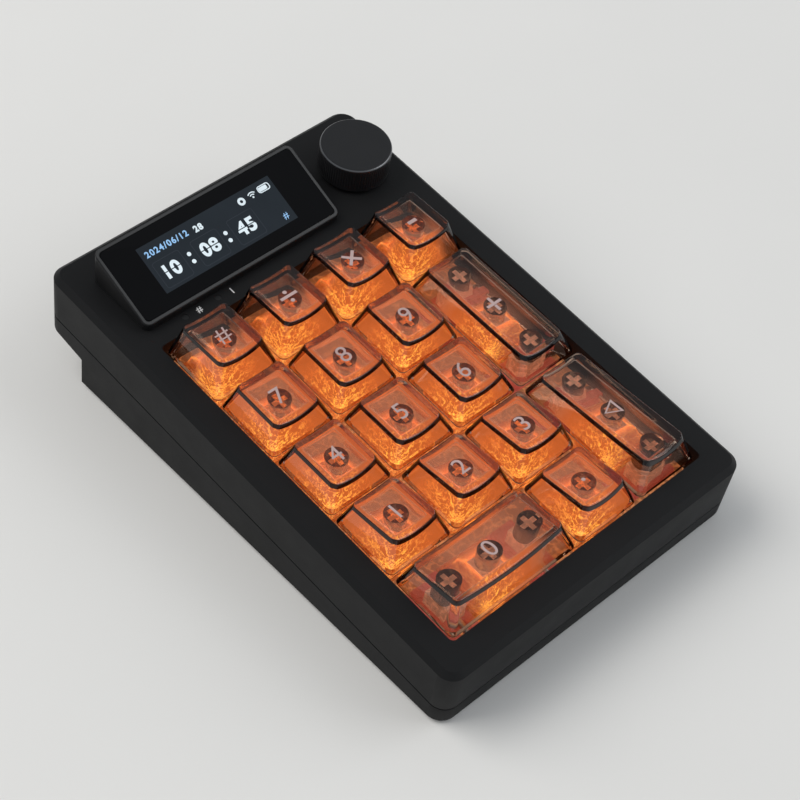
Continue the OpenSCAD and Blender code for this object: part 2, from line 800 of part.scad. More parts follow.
module stabiliser_wire(key) {
    color([0.8, 0.8, 0.8]) at_key(key) along(key) translate([0, -wire_reach, wire_rise])
        rotate([wire_swing, 0, 0]) {
            rotate([0, 90, 0]) cylinder(d = wire_d, h = 2 * stab_reach, center = true);
            for (x = [-stab_reach, stab_reach]) translate([x, 0, 0]) {
                sphere(d = wire_d);
                rotate([-90, 0, 0]) cylinder(d = wire_d, h = wire_arm);
            }
        }
}

// Board and what it carries

module main_board() {
    socket = [10, 4, 1.8];
    socket_offset = 5.2;
    chip = [9, 9, 1.2];
    color([0.1, 0.25, 0.16]) key_frame() {
        translate([0, 0, board_w - board_t]) linear_extrude(board_t) difference() {
            translate([-board_half_w, board_front]) square([2 * board_half_w, board_back - board_front]);
            for (key = KEYS) translate([key_u(key), key_v(key)]) circle(d = peg_d + 2 * seat_gap);
            translate([0, board_back]) square(
                [port_w + 2 * seat_gap, 2 * (board_back - port_back + port_len + seat_gap)], center = true);
        }
        for (key = KEYS) translate([key_u(key), key_v(key) + socket_offset, 0])
            block(socket.x, socket.y, board_w - board_t - socket.z, board_w - board_t);
        translate([-board_half_w / 2, pod_mid_v, 0]) block(chip.x, chip.y, board_w, board_w + chip.z);
    }
}

module backlight_lamps() {
    color([1, 0.75, 0.4]) key_frame() {
        for (key = KEYS) translate([key_u(key), key_v(key) - lamp_offset, 0])
            block(lamp_w, lamp_d, board_w, board_w + lamp_h);
        for (u = PIPES) translate([u, pipe_v, 0])
            block(pipe_d, pipe_d, board_w, board_w + lamp_h);
    }
}

module indicator_pipes() {
    color([0.8, 0.85, 0.85]) key_frame() for (u = PIPES)
        translate([u, pipe_v]) rod(pipe_d, board_w + lamp_h + run_gap, -seat_gap);
}

module battery() {
    back = shift_y + table_y(wedge_v - case_wall, floor_rise - rear_depth - overhang_fall) - run_gap;
    color([0.6, 0.62, 0.65])
        translate([-battery_w / 2, back - battery_d, foot_h + floor_t])
            cube([battery_w, battery_d, battery_h]);
}

module charging_port() {
    color([0.75, 0.75, 0.77]) key_frame() translate([0, port_back, port_mid])
        rotate([90, 0, 0]) {
            difference() {
                linear_extrude(port_len) port_plan(0);
                translate([0, 0, -cut]) linear_extrude(port_len + cut - 2 * port_t) port_plan(-port_t);
            }
            translate([-tongue_w / 2, -tongue_t / 2, tongue_back])
                cube([tongue_w, tongue_t, port_len - tongue_back - port_t]);
        }
}

// Opening and finger recess for the mode slider in the rear wall
module mode_slot() {
    recess = 1;
    slot_w = grip_w + 2 * mode_travel + 2 * run_gap;
    translate([-mode_left, rear_v - case_wall / 2, mode_mid])
        cube([slot_w, case_wall + cut, grip_h + 2 * run_gap], center = true);
    translate([-mode_left, rear_v, mode_mid])
        cube([slot_w + 2 * recess, 2 * recess, grip_h + 2 * run_gap + recess], center = true);
}

module mode_switch() {
    channel = mode_foot_w + 2 * mode_travel + 2 * run_gap;
    channel_h = grip_h + 2 * run_gap;
    color([0.2, 0.2, 0.2]) key_frame() translate([-mode_left, 0, 0]) difference() {
        translate([0, board_back - mode_d / 2, 0]) block(mode_w, mode_d, board_w, board_w + mode_h);
        translate([0, board_back, mode_mid])
            cube([channel, 2 * (mode_d - mode_wall), channel_h], center = true);
    }
}

module mode_slider() {
    foot_front = mode_front + mode_wall + run_gap;
    grip_back = rear_v - run_gap;
    color([0.25, 0.25, 0.26]) key_frame() translate([-mode_left, 0, mode_mid - grip_h / 2]) {
        translate([-mode_foot_w / 2, foot_front, 0])
            cube([mode_foot_w, board_back - foot_front, grip_h]);
        translate([-grip_w / 2, foot_front, 0]) cube([grip_w, grip_back - foot_front, grip_h]);
    }
}

// Screen

module screen_pod() {
    color([0.3, 0.3, 0.31]) key_frame() difference() {
        translate([-pod_left, pod_mid_v, 0])
            linear_extrude(pod_front_h + pod_d * tan(pod_slope) + cut) rounded(pod_w, pod_d, pod_r);
        on_screen() block(2 * pod_w, 2 * pod_len, 0, pod_d);
        on_screen() translate([0, 0, -glass_t]) linear_extrude(pod_d)
            rounded(glass_w, glass_d, pod_r - pod_rim / 2);
        translate([-pod_left, pod_mid_v, 0])
            block(glass_w - 2 * pod_ledge, pod_d - 2 * (pod_rim + pod_ledge), -cut, 2 * pod_d);
        on_screen() block(panel_w + 2 * seat_gap, panel_d + 2 * seat_gap, -glass_t - panel_t - seat_gap, 0);
    }
}

module screen_glass() {
    color([0.05, 0.06, 0.08]) key_frame() on_screen() translate([0, 0, -glass_t])
        linear_extrude(glass_t) rounded(glass_w - seat_gap, glass_d - seat_gap, pod_r - pod_rim / 2);
}

module screen_panel() {
    panel_low = -glass_t - panel_t;
    color([0.2, 0.24, 0.32]) key_frame() {
        on_screen() block(panel_w, panel_d, panel_low, -glass_t);
        difference() {
            translate([-pod_left, ribbon_v]) block(ribbon_w, ribbon_t, board_w, pod_d);
            on_screen() block(2 * pod_w, 2 * pod_len, -glass_t - panel_t / 2, pod_d);
        }
    }
}

// Knob and encoder

module shaft_section(gap) {
    difference() {
        circle(d = shaft_d + 2 * gap);
        translate([shaft_d / 2 - shaft_flat + gap, -shaft_d]) square(2 * shaft_d);
    }
}

module knob() {
    radius = knob_d / 2;
    color([0.08, 0.08, 0.085]) key_frame() translate([knob_u, knob_v, knob_gap]) difference() {
        rotate_extrude() polygon([
            [0, 0], [radius - knob_bevel / 2, 0], [radius, knob_bevel / 2],
            [radius, knob_h - knob_bevel], [radius - knob_bevel, knob_h], [0, knob_h],
        ]);
        translate([0, 0, -cut]) linear_extrude(knob_h - knob_roof + cut) shaft_section(cross_gap);
    }
}

module encoder_shaft() {
    color([0.7, 0.7, 0.72]) key_frame() translate([knob_u, knob_v, 0]) {
        rod(shaft_d, plunger_top, 0);
        linear_extrude(shaft_top) shaft_section(0);
    }
}

module encoder_plunger() {
    color([0.9, 0.9, 0.88]) key_frame() translate([knob_u, knob_v, 0])
        rod(shaft_d - 2 * seat_gap, plunger_top - plunger_h, plunger_top);
}

module encoder_body() {
    color([0.15, 0.35, 0.2]) key_frame() translate([knob_u, knob_v, 0]) difference() {
        union() {
            block(encoder_side, encoder_side, board_w, encoder_top);
            rod(bush_d, encoder_top, -run_gap);
        }
        rod(shaft_d + 2 * seat_gap, board_w + encoder_floor, cut);
    }
}

upper_case();
lower_case();
switch_plate();
main_board();
switch_tops();
switch_bases();
switch_springs();
stabiliser_housings();
backlight_lamps();
indicator_pipes();
screen_pod();
screen_glass();
screen_panel();
knob();
encoder_shaft();
encoder_plunger();
encoder_body();
battery();
charging_port();
mode_switch();
mode_slider();
case_screws();
rubber_feet();
for (key = KEYS) {
    keycap(key);
    stem(key);
}
for (key = LONG_KEYS)
    stabiliser_wire(key);
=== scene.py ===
"""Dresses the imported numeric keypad: smoky caps over lit switches, a clock screen and a knurled knob.

Every new piece is worked out in the key frame, in millimetres: u to the right, v away from the
user and w square to the sloped deck, with the origin on the deck at the centre of the key block.
"""
from __future__ import annotations

import json
import logging
import math
from dataclasses import dataclass
from enum import Enum, IntEnum

import bmesh
import bpy
import numpy as np
from mathutils import Matrix, Vector
from mathutils.geometry import delaunay_2d_cdt

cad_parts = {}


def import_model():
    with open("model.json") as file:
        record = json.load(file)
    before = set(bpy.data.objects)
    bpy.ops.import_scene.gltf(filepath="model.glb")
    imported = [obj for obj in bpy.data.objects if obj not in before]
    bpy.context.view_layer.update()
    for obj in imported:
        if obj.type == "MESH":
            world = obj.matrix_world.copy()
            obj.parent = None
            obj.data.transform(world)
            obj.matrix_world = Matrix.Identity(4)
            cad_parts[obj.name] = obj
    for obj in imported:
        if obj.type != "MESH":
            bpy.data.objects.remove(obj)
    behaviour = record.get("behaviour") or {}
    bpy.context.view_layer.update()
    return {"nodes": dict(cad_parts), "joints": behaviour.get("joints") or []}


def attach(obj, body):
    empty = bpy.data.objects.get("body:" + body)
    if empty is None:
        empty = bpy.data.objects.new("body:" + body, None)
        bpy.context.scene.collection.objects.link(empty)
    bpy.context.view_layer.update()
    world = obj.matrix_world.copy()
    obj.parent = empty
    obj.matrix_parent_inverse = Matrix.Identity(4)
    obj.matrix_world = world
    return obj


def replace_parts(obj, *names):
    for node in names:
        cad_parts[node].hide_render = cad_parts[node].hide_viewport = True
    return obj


LOG = logging.getLogger("keypad")
MM = 0.001
MERGE_DISTANCE = 2e-6
SHARP_ANGLE = 35.0
ARC_STEPS = 8
SIDE_STEPS = 12
SIDES = 4
FILL_INSIDE = 1
FILL_TOLERANCE = 1e-6
Color = tuple[float, float, float]
Place = tuple[float, float, float]
Span = tuple[float, float]
Points = np.ndarray
Socket = bpy.types.NodeSocket


# Frames and meshes


def put(name: str, data: bpy.types.ID) -> bpy.types.Object:
    """Makes an object and links it to the scene.

    Args:
        name: the object's name.
        data: its mesh, curve, camera or light.

    Returns:
        The object, at the origin.
    """
    made = bpy.data.objects.new(name, data)
    bpy.context.scene.collection.objects.link(made)
    return made


@dataclass(frozen=True)
class KeyFrame:
    """The frame of the sloped deck, and where it lies in the row frame."""

    slope: float
    origin: Place

    @classmethod
    def from_joints(cls, joints: list[dict], axis_u: float, axis_v: float) -> KeyFrame:
        """Finds the deck from the knob's turning axis, which stands square to it.

        Args:
            joints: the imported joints.
            axis_u: the knob axis's place across the deck, in mm.
            axis_v: the knob axis's place along the deck, in mm.

        Returns:
            The key frame.
        """
        turn = next(joint for joint in joints if joint["name"] == "knob_turn")
        slope = math.atan2(-turn["axis"][1], turn["axis"][2])
        foot = np.array(turn["pos_m"]) / MM
        back = np.array([axis_u, axis_v * math.cos(slope), axis_v * math.sin(slope)])
        return cls(slope, tuple(foot - back))

    def turn(self, vectors: Points) -> Points:
        """Turns vectors by the deck's slope about the u axis.

        Args:
            vectors: rows of u, v and w.

        Returns:
            The same vectors in the row frame's directions.
        """
        u, v, w = np.moveaxis(np.asarray(vectors, float), -1, 0)
        across, rise = math.cos(self.slope), math.sin(self.slope)
        return np.stack([u, v * across - w * rise, v * rise + w * across], axis=-1)

    def to_row(self, points: Points) -> Points:
        """Takes key-frame points in mm to the row frame in metres."""
        return (self.turn(points) + np.array(self.origin)) * MM


class Skin:
    """Collects grids and loose triangles of key-frame points into one closed mesh."""

    def __init__(self, deck: KeyFrame) -> None:
        """Starts an empty skin.

        Args:
            deck: the frame that the points are given in.
        """
        self.deck = deck
        self.patches: list[tuple[Points, dict[str, Points]]] = []
        self.faces: list[list[int]] = []
        self.count = 0

    def add(self, points: Points, faces: Points | list, **values: Points) -> None:
        """Adds points and the faces between them.

        Args:
            points: rows of u, v and w.
            faces: rows of indices into those points.
            values: one array per vertex attribute, as long as the points.
        """
        flat = np.asarray(points, float).reshape(-1, 3)
        self.faces.extend((np.asarray(faces) + self.count).tolist())
        self.patches.append((flat, values))
        self.count += len(flat)

    def loft(self, rings: Points, closed: bool = False, **values: Points) -> None:
        """Skins a stack of rings: face i, j joins rings i and i + 1 between points j and j + 1.

        Args:
            rings: an array of rings by points by u, v and w.
            closed: whether the last ring joins the first.
            values: vertex attributes shaped like the rings.
        """
        count, around = rings.shape[:2]
        rows = np.arange(count if closed else count - 1)[:, None] * around
        after = (rows + around) % (count * around)
        columns = np.arange(around)[None, :]
        beside = (columns + 1) % around
        corners = [rows + columns, rows + beside, after + beside, after + columns]
        flat = {name: np.reshape(grid, (-1,) + np.shape(grid)[2:]) for name, grid in values.items()}
        self.add(rings, np.stack(corners, axis=-1).reshape(-1, 4), **flat)

    def lid(self, ring: Points) -> None:
        """Closes a flat ring with one face."""
        self.add(ring, [list(range(len(ring)))])

    def solid(self, rings: Points) -> None:
        """Skins a stack of rings and closes both its ends.

        Args:
            rings: an array of rings by points by u, v and w.
        """
        self.loft(rings)
        self.lid(rings[0])
        self.lid(rings[-1])

    def attach(self, mesh: bpy.types.Mesh, label: str) -> None:
        """Writes a vertex attribute, which is zero on the patches that have no values for it.

        Args:
            mesh: the new mesh.
            label: the attribute's name.
        """
        width = next(np.shape(values[label])[1:] for _, values in self.patches if label in values)
        parts = [values.get(label, np.zeros((len(flat),) + width)) for flat, values in self.patches]
        kind, key = ("FLOAT_VECTOR", "vector") if width else ("FLOAT", "value")
        layer = mesh.attributes.new(label, kind, "POINT")
        layer.data.foreach_set(key, np.concatenate(parts).astype(np.float32).ravel())

    def make(
        self, name: str, material: bpy.types.Material, sharp: float = SHARP_ANGLE
    ) -> bpy.types.Object:
        """Makes the object: merges the seams, turns the faces outwards and smooths all but sharp edges.

        Args:
            name: the piece's name.
            material: its finish.
            sharp: the angle in degrees from which an edge stays sharp.

        Returns:
            The object, at the origin.
        """
        mesh = bpy.data.meshes.new(name)
        points = np.concatenate([flat for flat, _ in self.patches])
        mesh.from_pydata(self.deck.to_row(points).tolist(), [], self.faces)
        for label in sorted({label for _, values in self.patches for label in values}):
            self.attach(mesh, label)
        work = bmesh.new()
        work.from_mesh(mesh)
        bmesh.ops.remove_doubles(work, verts=work.verts, dist=MERGE_DISTANCE)
        bmesh.ops.recalc_face_normals(work, faces=work.faces)
        work.to_mesh(mesh)
        work.free()
        mesh.shade_smooth()
        mesh.set_sharp_from_angle(angle=math.radians(sharp))
        mesh.materials.append(material)
        LOG.info("%s: %d faces", name, len(mesh.polygons))
        return put(name, mesh)


def rounded_ring(
    half_u: float, half_v: float, radius: float, corner: int = ARC_STEPS, side: int = SIDE_STEPS
) -> Points:
    """A rounded rectangle as a ring: four arcs of equal steps, joined by evenly split straight sides.

    Args:
        half_u: half its width.
        half_v: half its depth.
        radius: its corner radius.
        corner: steps in an arc.
        side: steps in a side.

    Returns:
        Rows of u and v, anticlockwise from the right end of the rear right corner.
    """
    quarters = np.arange(SIDES)[:, None] * np.pi / 2
    turns = quarters + np.linspace(0.0, np.pi / 2, corner + 1)
    signs = np.array([[1, 1], [-1, 1], [-1, -1], [1, -1]])
    centres = signs * np.array([half_u - radius, half_v - radius])
    arcs = centres[:, None, :] + radius * np.stack([np.cos(turns), np.sin(turns)], axis=-1)
    share = np.linspace(0.0, 1.0, side + 1)[1:-1, None]
    nexts = np.roll(arcs[:, 0], -1, axis=0)
    sides = arcs[:, -1, None, :] * (1 - share) + nexts[:, None, :] * share
    return np.concatenate([arcs, sides], axis=1).reshape(-1, 2)


def corner_weight(strengths: tuple = (1.0, 1.0, 1.0, 1.0)) -> Points:
    """Half a sine wave over each arc of a rounded ring, times its corner's strength, and zero on the sides.

    Args:
        strengths: one number for each corner, anticlockwise from the rear right one.

    Returns:
        One number for each point of a ring with the usual steps.
    """
    arc = np.sin(np.linspace(0.0, np.pi, ARC_STEPS + 1))
    return np.outer(strengths, np.concatenate([arc, np.zeros(SIDE_STEPS - 1)])).ravel()


def cross_ring(length: float, thick: float, steps: int = 4) -> Points:
    """The outline of an upright cross, each of its twelve edges split evenly.

    Args:
        length: the length of its bars.
        thick: their thickness.
        steps: steps in an edge.

    Returns:
        Rows of u and v.
    """
    far, near = length / 2, thick / 2
    arm = np.array([[far, -near], [far, near], [near, near]])
    turns = np.arange(SIDES) * np.pi / 2
    spin = np.array([[np.cos(turns), -np.sin(turns)], [np.sin(turns), np.cos(turns)]])
    corners = np.einsum("ijt,pj->tpi", spin, arm).reshape(-1, 2)
    share = np.linspace(0.0, 1.0, steps, endpoint=False)[None, :, None]
    nexts = np.roll(corners, -1, axis=0)
    return (corners[:, None, :] * (1 - share) + nexts[:, None, :] * share).reshape(-1, 2)


def circle_like(ring: Points, radius: float) -> Points:
    """A circle whose points lie at the same angles as a ring's points."""
    turns = np.arctan2(ring[:, 1], ring[:, 0])
    return radius * np.stack([np.cos(turns), np.sin(turns)], axis=-1)


def bend(low: Points, edge: Points, high: Points, steps: int) -> Points:
    """Rounds an edge: a parabola from low to high whose tangents meet at the edge, one ring per step."""
    s = np.linspace(0.0, 1.0, steps + 1)[:, None, None]
    return (1 - s) ** 2 * low + 2 * s * (1 - s) * edge + s**2 * high


def lerp(low: Points, high: Points, steps: int) -> Points:
    """Rings in a straight line from one ring to another, both included."""
    s = np.linspace(0.0, 1.0, steps + 1)[:, None, None]
    return (1 - s) * low + s * high


def at_height(ring: Points, height: float | Points) -> Points:
    """Gives a flat ring its third coordinate."""
    return np.column_stack([ring, np.broadcast_to(height, len(ring))])


@dataclass(frozen=True)
class Setting:
    """How a text is set: a numeral's height in mm, its strokes and its spacing.

    Bold is how far the strokes swell, as a share of the height. Apart is a share of the font's own spacing.
    """

    height: float
    bold: float = 0.0
    apart: float = 1.0


class Lettering:
    """Plain numerals and signs as thin closed meshes, in mm, centred on their place."""

    def __init__(self) -> None:
        """Measures the height of a numeral of the built-in font."""
        self.unit = 1.0
        points, _ = self.outline("8", Setting(1.0), 0.0)
        self.unit = np.ptp(points[:, 1])

    def outline(self, text: str, setting: Setting, thick: float) -> tuple[Points, Points]:
        """Draws a text flat, centred on the origin.

        Args:
            text: numerals or signs.
            setting: how they are set.
            thick: the thickness of the letters.

        Returns:
            Its points and triangles.
        """
        scale = setting.height / self.unit
        curve = bpy.data.curves.new("lettering", "FONT")
        curve.body = text
        curve.size = scale
        curve.offset = setting.bold * scale
        curve.extrude = thick / 2
        curve.space_character = setting.apart
        holder = put("lettering", curve)
        graph = bpy.context.evaluated_depsgraph_get()
        mesh = bpy.data.meshes.new_from_object(holder.evaluated_get(graph))
        mesh.calc_loop_triangles()
        points = np.empty(len(mesh.vertices) * 3)
        mesh.vertices.foreach_get("co", points)
        points = points.reshape(-1, 3)
        faces = np.empty(len(mesh.loop_triangles) * 3, int)
        mesh.loop_triangles.foreach_get("vertices", faces)
        bpy.data.objects.remove(holder)
        bpy.data.curves.remove(curve)
        bpy.data.meshes.remove(mesh)
        middle = (points.min(axis=0) + points.max(axis=0)) / 2
        return points - middle, faces.reshape(-1, 3)


# Finishes


# The part of a noise's range that is spread out, and the noises behind the painted bright lines and streaks
PATCH_SPAN: Span = (0.3, 0.7)
NOISE_MIDDLE = 0.5
GLINT_DETAIL = 2.0
STREAK_SIZE = 110.0
STREAK_DETAIL = 1.5
STREAK_SPAN: Span = (0.54, 0.62)
SHAKE = 0.25
SHAKE_SIZE = 1.3
SHAKE_DETAIL = 1.0
AMBER: Color = (1.0, 0.24, 0.05)


class Graph:
    """A material's node tree, with short calls that add and link its nodes."""

    def __init__(self, name: str) -> None:
        """Starts a material with a principled shader.

        Args:
            name: the material's name.
        """
        self.material = bpy.data.materials.new(name)
        self.material.use_nodes = True
        self.tree = self.material.node_tree
        self.shader = self.tree.nodes["Principled BSDF"]
        self.place = self.add("ShaderNodeTexCoord").outputs["Object"]

    def feed(self, node: bpy.types.Node, inputs: dict) -> bpy.types.Node:
        """Sets a node's inputs, linking those given as sockets.

        Args:
            node: the node.
            inputs: values or sockets by input name or index.

        Returns:
            The node.
        """
        for key, value in inputs.items():
            if isinstance(value, Socket):
                self.tree.links.new(value, node.inputs[key])
            elif isinstance(value, tuple) and node.inputs[key].type == "RGBA":
                node.inputs[key].default_value = (*value, 1.0)
            else:
                node.inputs[key].default_value = value
        return node

    def add(self, kind: str, inputs: dict | None = None, **settings: object) -> bpy.types.Node:
        """Adds a node.

        Args:
            kind: the node's type.
            inputs: values or sockets by input name or index.
            settings: the node's own properties.

        Returns:
            The node.
        """
        node = self.tree.nodes.new(kind)
        for key, value in settings.items():
            setattr(node, key, value)
        return self.feed(node, inputs or {})

    def noise(
        self, size: float, detail: float = 3.0, vector: Socket | None = None, output: int | str = 0
    ) -> Socket:
        """A noise whose spots are about size mm across."""
        inputs = {"Vector": vector or self.place, "Scale": 1 / (size * MM), "Detail": detail}
        return self.add("ShaderNodeTexNoise", inputs).outputs[output]

    def ramp(self, value: Socket, low: float, high: float, to_low: float, to_high: float) -> Socket:
        """Maps a value from one range to another, held at its ends."""
        inputs = {0: value, 1: low, 2: high, 3: to_low, 4: to_high}
        return self.add("ShaderNodeMapRange", inputs).outputs[0]

    def arithmetic(self, operation: str, *values: Socket | float) -> Socket:
        """One step of arithmetic."""
        return self.add("ShaderNodeMath", dict(enumerate(values)), operation=operation).outputs[0]

    def times(self, one: Socket, other: Socket | float) -> Socket:
        """Multiplies two values."""
        return self.arithmetic("MULTIPLY", one, other)

    def plus(self, one: Socket, other: Socket | float) -> Socket:
        """Adds two values."""
        return self.arithmetic("ADD", one, other)

    def mix(self, share: Socket, low: Color | Socket, high: Color | Socket) -> Socket:
        """Mixes two colours."""
        return self.add("ShaderNodeMix", {0: share, 6: low, 7: high}, data_type="RGBA").outputs[2]

    def value(self, name: str, output: str = "Fac") -> Socket:
        """What the mesh carries as an attribute: a number, or a vector."""
        return self.add("ShaderNodeAttribute", attribute_name=name).outputs[output]

    def bump(self, height: Socket, depth: float) -> Socket:
        """A bump depth mm high."""
        inputs = {"Strength": 1.0, "Distance": depth * MM, "Height": height}
        return self.add("ShaderNodeBump", inputs).outputs[0]

    def glint_lines(self, size: float, line: float) -> Socket:
        """Painted light: thin bright lines where a noise crosses its middle value.

        Args:
            size: the size of the noise, in mm.
            line: the width of the lines, in the noise's own values.

        Returns:
            The lines' strength, from 0 to 1.
        """
        offset = self.plus(self.noise(size, GLINT_DETAIL), -NOISE_MIDDLE)
        return self.ramp(self.arithmetic("ABSOLUTE", offset), 0.0, line, 1.0, 0.0)

    def fan(self, name: str) -> Socket:
        """Painted light streaks that fan out from a point and waver: noise over the shaken direction away
        from it.

        Args:
            name: the vertex attribute that holds the vector from the point.

        Returns:
            The streaks' strength, from 0 to 1.
        """
        ray = self.add("ShaderNodeVectorMath", {0: self.value(name, "Vector")}, operation="NORMALIZE")
        shake = self.noise(SHAKE_SIZE, SHAKE_DETAIL, output="Color")
        inputs = {0: shake, 1: (SHAKE, SHAKE, SHAKE), 2: ray.outputs["Vector"]}
        wavy = self.add("ShaderNodeVectorMath", inputs, operation="MULTIPLY_ADD").outputs["Vector"]
        return self.ramp(self.noise(STREAK_SIZE, STREAK_DETAIL, wavy), *STREAK_SPAN, 0.0, 1.0)


def shade(color: Color, factor: float) -> Color:
    """A colour made lighter or darker by a factor."""
    return tuple(min(1.0, part * factor) for part in color)


@dataclass(frozen=True)
class Finish:
    """An opaque surface with a fine grain and soft patches of colour and gloss.

    Grain, patch and glint size are the sizes of its noises and relief is the height of its grain, in mm.
    Mottle is how far the patches change the colour, and line is how wide the painted bright lines are.
    """

    name: str
    color: Color
    rough: float = 0.5
    metal: float = 0.0
    grain: float = 0.35
    relief: float = 0.012
    patch: float = 7.0
    mottle: float = 0.15
    glow: float = 0.0
    glow_color: Color = AMBER
    glow_low: float = 0.7
    specular: float = 0.5
    clear: float = 0.0
    glint_size: float = 0.0
    line: float = 0.06
    glint_gain: float = 3.0

    def material(self) -> bpy.types.Material:
        """Returns the material, made once."""
        return bpy.data.materials.get(self.name) or self.build()

    def build(self) -> bpy.types.Material:
        """Builds the nodes: patches tint the colour and the roughness, the grain is a bump, and glow and
        bright lines paint light.

        Returns:
            The material.
        """
        graph = Graph(self.name)
        patches = graph.noise(self.patch)
        swing = self.mottle / 2
        duller = min(1.0, self.rough * (1 + swing))
        darker, lighter = shade(self.color, 1 - self.mottle), shade(self.color, 1 + self.mottle)
        inputs = {
            "Base Color": graph.mix(patches, darker, lighter),
            "Roughness": graph.ramp(patches, *PATCH_SPAN, self.rough * (1 - swing), duller),
            "Metallic": self.metal,
            "Specular IOR Level": self.specular,
            "Transmission Weight": self.clear,
            "Normal": graph.bump(graph.noise(self.grain), self.relief),
        }
        # Painted light: the glow and the bright lines stand for light the part gives out; only the lamps and
        # the display really do.
        if self.glow:
            dimmer = shade(self.glow_color, self.glow_low)
            inputs["Emission Color"] = graph.mix(patches, dimmer, self.glow_color)
            inputs["Emission Strength"] = self.glow
        if self.glint_size:
            lines = graph.glint_lines(self.glint_size, self.line)
            inputs["Emission Strength"] = graph.ramp(lines, 0.0, 1.0, self.glow, self.glow * self.glint_gain)
        graph.feed(graph.shader, inputs)
        return graph.material


@dataclass(frozen=True)
class DisplayFinish(Finish):
    """A layer of the display: smooth, glossy and lit."""

    rough: float = 0.08
    relief: float = 0.0
    specular: float = 0.25
    glow: float = 1.0


@dataclass(frozen=True)
class LampFinish(Finish):
    """A clear plastic that a lamp shines into, as painted light: a hot core, with streaks and bright lines
    that fade away from it.

    The spans of the core and the sparks are distances from the lamp in mm, from full to least strength.
    """

    ior: float = 1.5
    hot: float = 0.5
    hot_color: Color = (1.0, 0.52, 0.13)
    hot_span: Span = (0.6, 2.6)
    hot_low: float = 0.35
    spark_span: Span = (2.0, 15.0)
    spark_far: float = 0.4
    heat_span: Span = (0.2, 1.3)

    def lamp_light(self, graph: Graph) -> tuple[Socket, Socket, Socket]:
        """Adds the nodes for the painted light: streaks plus bright lines, and a core that the streaks break
        up.

        Args:
            graph: the node tree in hand.

        Returns:
            The strength of the sparks, the strength of the core, and the colour of both.
        """
        away = graph.value("away")
        streaks = graph.fan("lamp")
        lines = graph.glint_lines(self.glint_size, self.line)
        near = graph.ramp(away, *self.spark_span, 1.0, self.spark_far)
        spark = graph.times(graph.plus(streaks, lines), near)
        close = graph.ramp(away, *self.hot_span, 1.0, 0.0)
        core = graph.times(close, graph.ramp(streaks, 0.0, 1.0, self.hot_low, 1.0))
        heat = graph.ramp(graph.plus(spark, core), *self.heat_span, 0.0, 1.0)
        return spark, core, graph.mix(heat, self.glow_color, self.hot_color)


@dataclass(frozen=True)
class SmokyFinish(LampFinish):
    """Clear smoky plastic: painted shade darkens its edges, and the hollow's faces glow with painted light
    that they catch.
    """

    ior: float = 1.49
    hot: float = 1.0
    hot_color: Color = (1.0, 0.5, 0.08)
    hot_span: Span = (0.4, 3.0)
    hot_low: float = 0.5
    spark: float = 0.7
    spark_span: Span = (1.0, 13.0)
    spark_far: float = 0.0
    heat_span: Span = (0.1, 1.2)
    shade_color: Color = (0.0004, 0.0002, 0.0002)
    slant_span: Span = (0.5, 0.95)
    slant_dark: float = 0.8
    absorbs: Color = (0.67, 0.42, 0.22)
    density: float = 170.0
    painted_haze: float = 0.8
    painted_haze_color: Color = (0.2, 0.07, 0.035)
    rough_gain: float = 2.0

    def build(self) -> bpy.types.Material:
        """Builds the nodes: edge paints shade into the tint, caught clouds it and paints light into it, and
        smoke fills the walls.

        Returns:
            The material.
        """
        graph = Graph(self.name)
        caught = graph.value("caught")
        # Painted shade: the tint darkens at glancing angles and wherever the edge value paints it dark.
        slant = graph.add("ShaderNodeLayerWeight").outputs["Facing"]
        slanted = graph.ramp(slant, *self.slant_span, 0.0, self.slant_dark)
        tint = graph.mix(slanted, self.color, self.shade_color)
        tint = graph.mix(graph.value("edge"), tint, self.shade_color)
        spark, core, light = self.lamp_light(graph)
        flare = graph.plus(graph.times(spark, self.spark), graph.times(core, self.hot))
        duller = self.rough * self.rough_gain
        # Painted light: where the hollow catches light, the plastic turns hazy, takes the haze colour and
        # glows.
        graph.feed(graph.shader, {
            "Base Color": graph.mix(caught, tint, self.painted_haze_color),
            "Roughness": graph.ramp(graph.noise(self.patch), *PATCH_SPAN, self.rough, duller),
            "IOR": self.ior,
            "Transmission Weight": graph.ramp(caught, 0.0, 1.0, 1.0, 1.0 - self.painted_haze),
            "Emission Color": light,
            "Emission Strength": graph.times(caught, graph.plus(flare, self.glow)),
            "Normal": graph.bump(graph.noise(self.grain), self.relief),
        })
        smoke = graph.add("ShaderNodeVolumeAbsorption", {"Color": self.absorbs, "Density": self.density})
        graph.tree.links.new(smoke.outputs[0], graph.tree.nodes["Material Output"].inputs["Volume"])
        return graph.material


@dataclass(frozen=True)
class HousingFinish(LampFinish):
    """Clear housing plastic lit from below: it glows all over, and glints along its upper corners."""

    glint: float = 0.8
    spark_top: float = 1.5
    glint_gain: float = 5.0

    def build(self) -> bpy.types.Material:
        """Builds the nodes: the sparks lift the glow, and the core and the glints are added to it.

        Returns:
            The material.
        """
        graph = Graph(self.name)
        spark, core, light = self.lamp_light(graph)
        glow = graph.ramp(spark, 0.0, self.spark_top, self.glow, self.glow * self.glint_gain)
        flare = graph.plus(glow, graph.times(core, self.hot))
        graph.feed(graph.shader, {
            "Base Color": self.color,
            "Roughness": self.rough,
            "IOR": self.ior,
            "Transmission Weight": self.clear,
            "Emission Color": light,
            "Emission Strength": graph.plus(flare, graph.times(graph.value("glint"), self.glint)),
            "Normal": graph.bump(graph.noise(self.grain), self.relief),
        })
        return graph.material


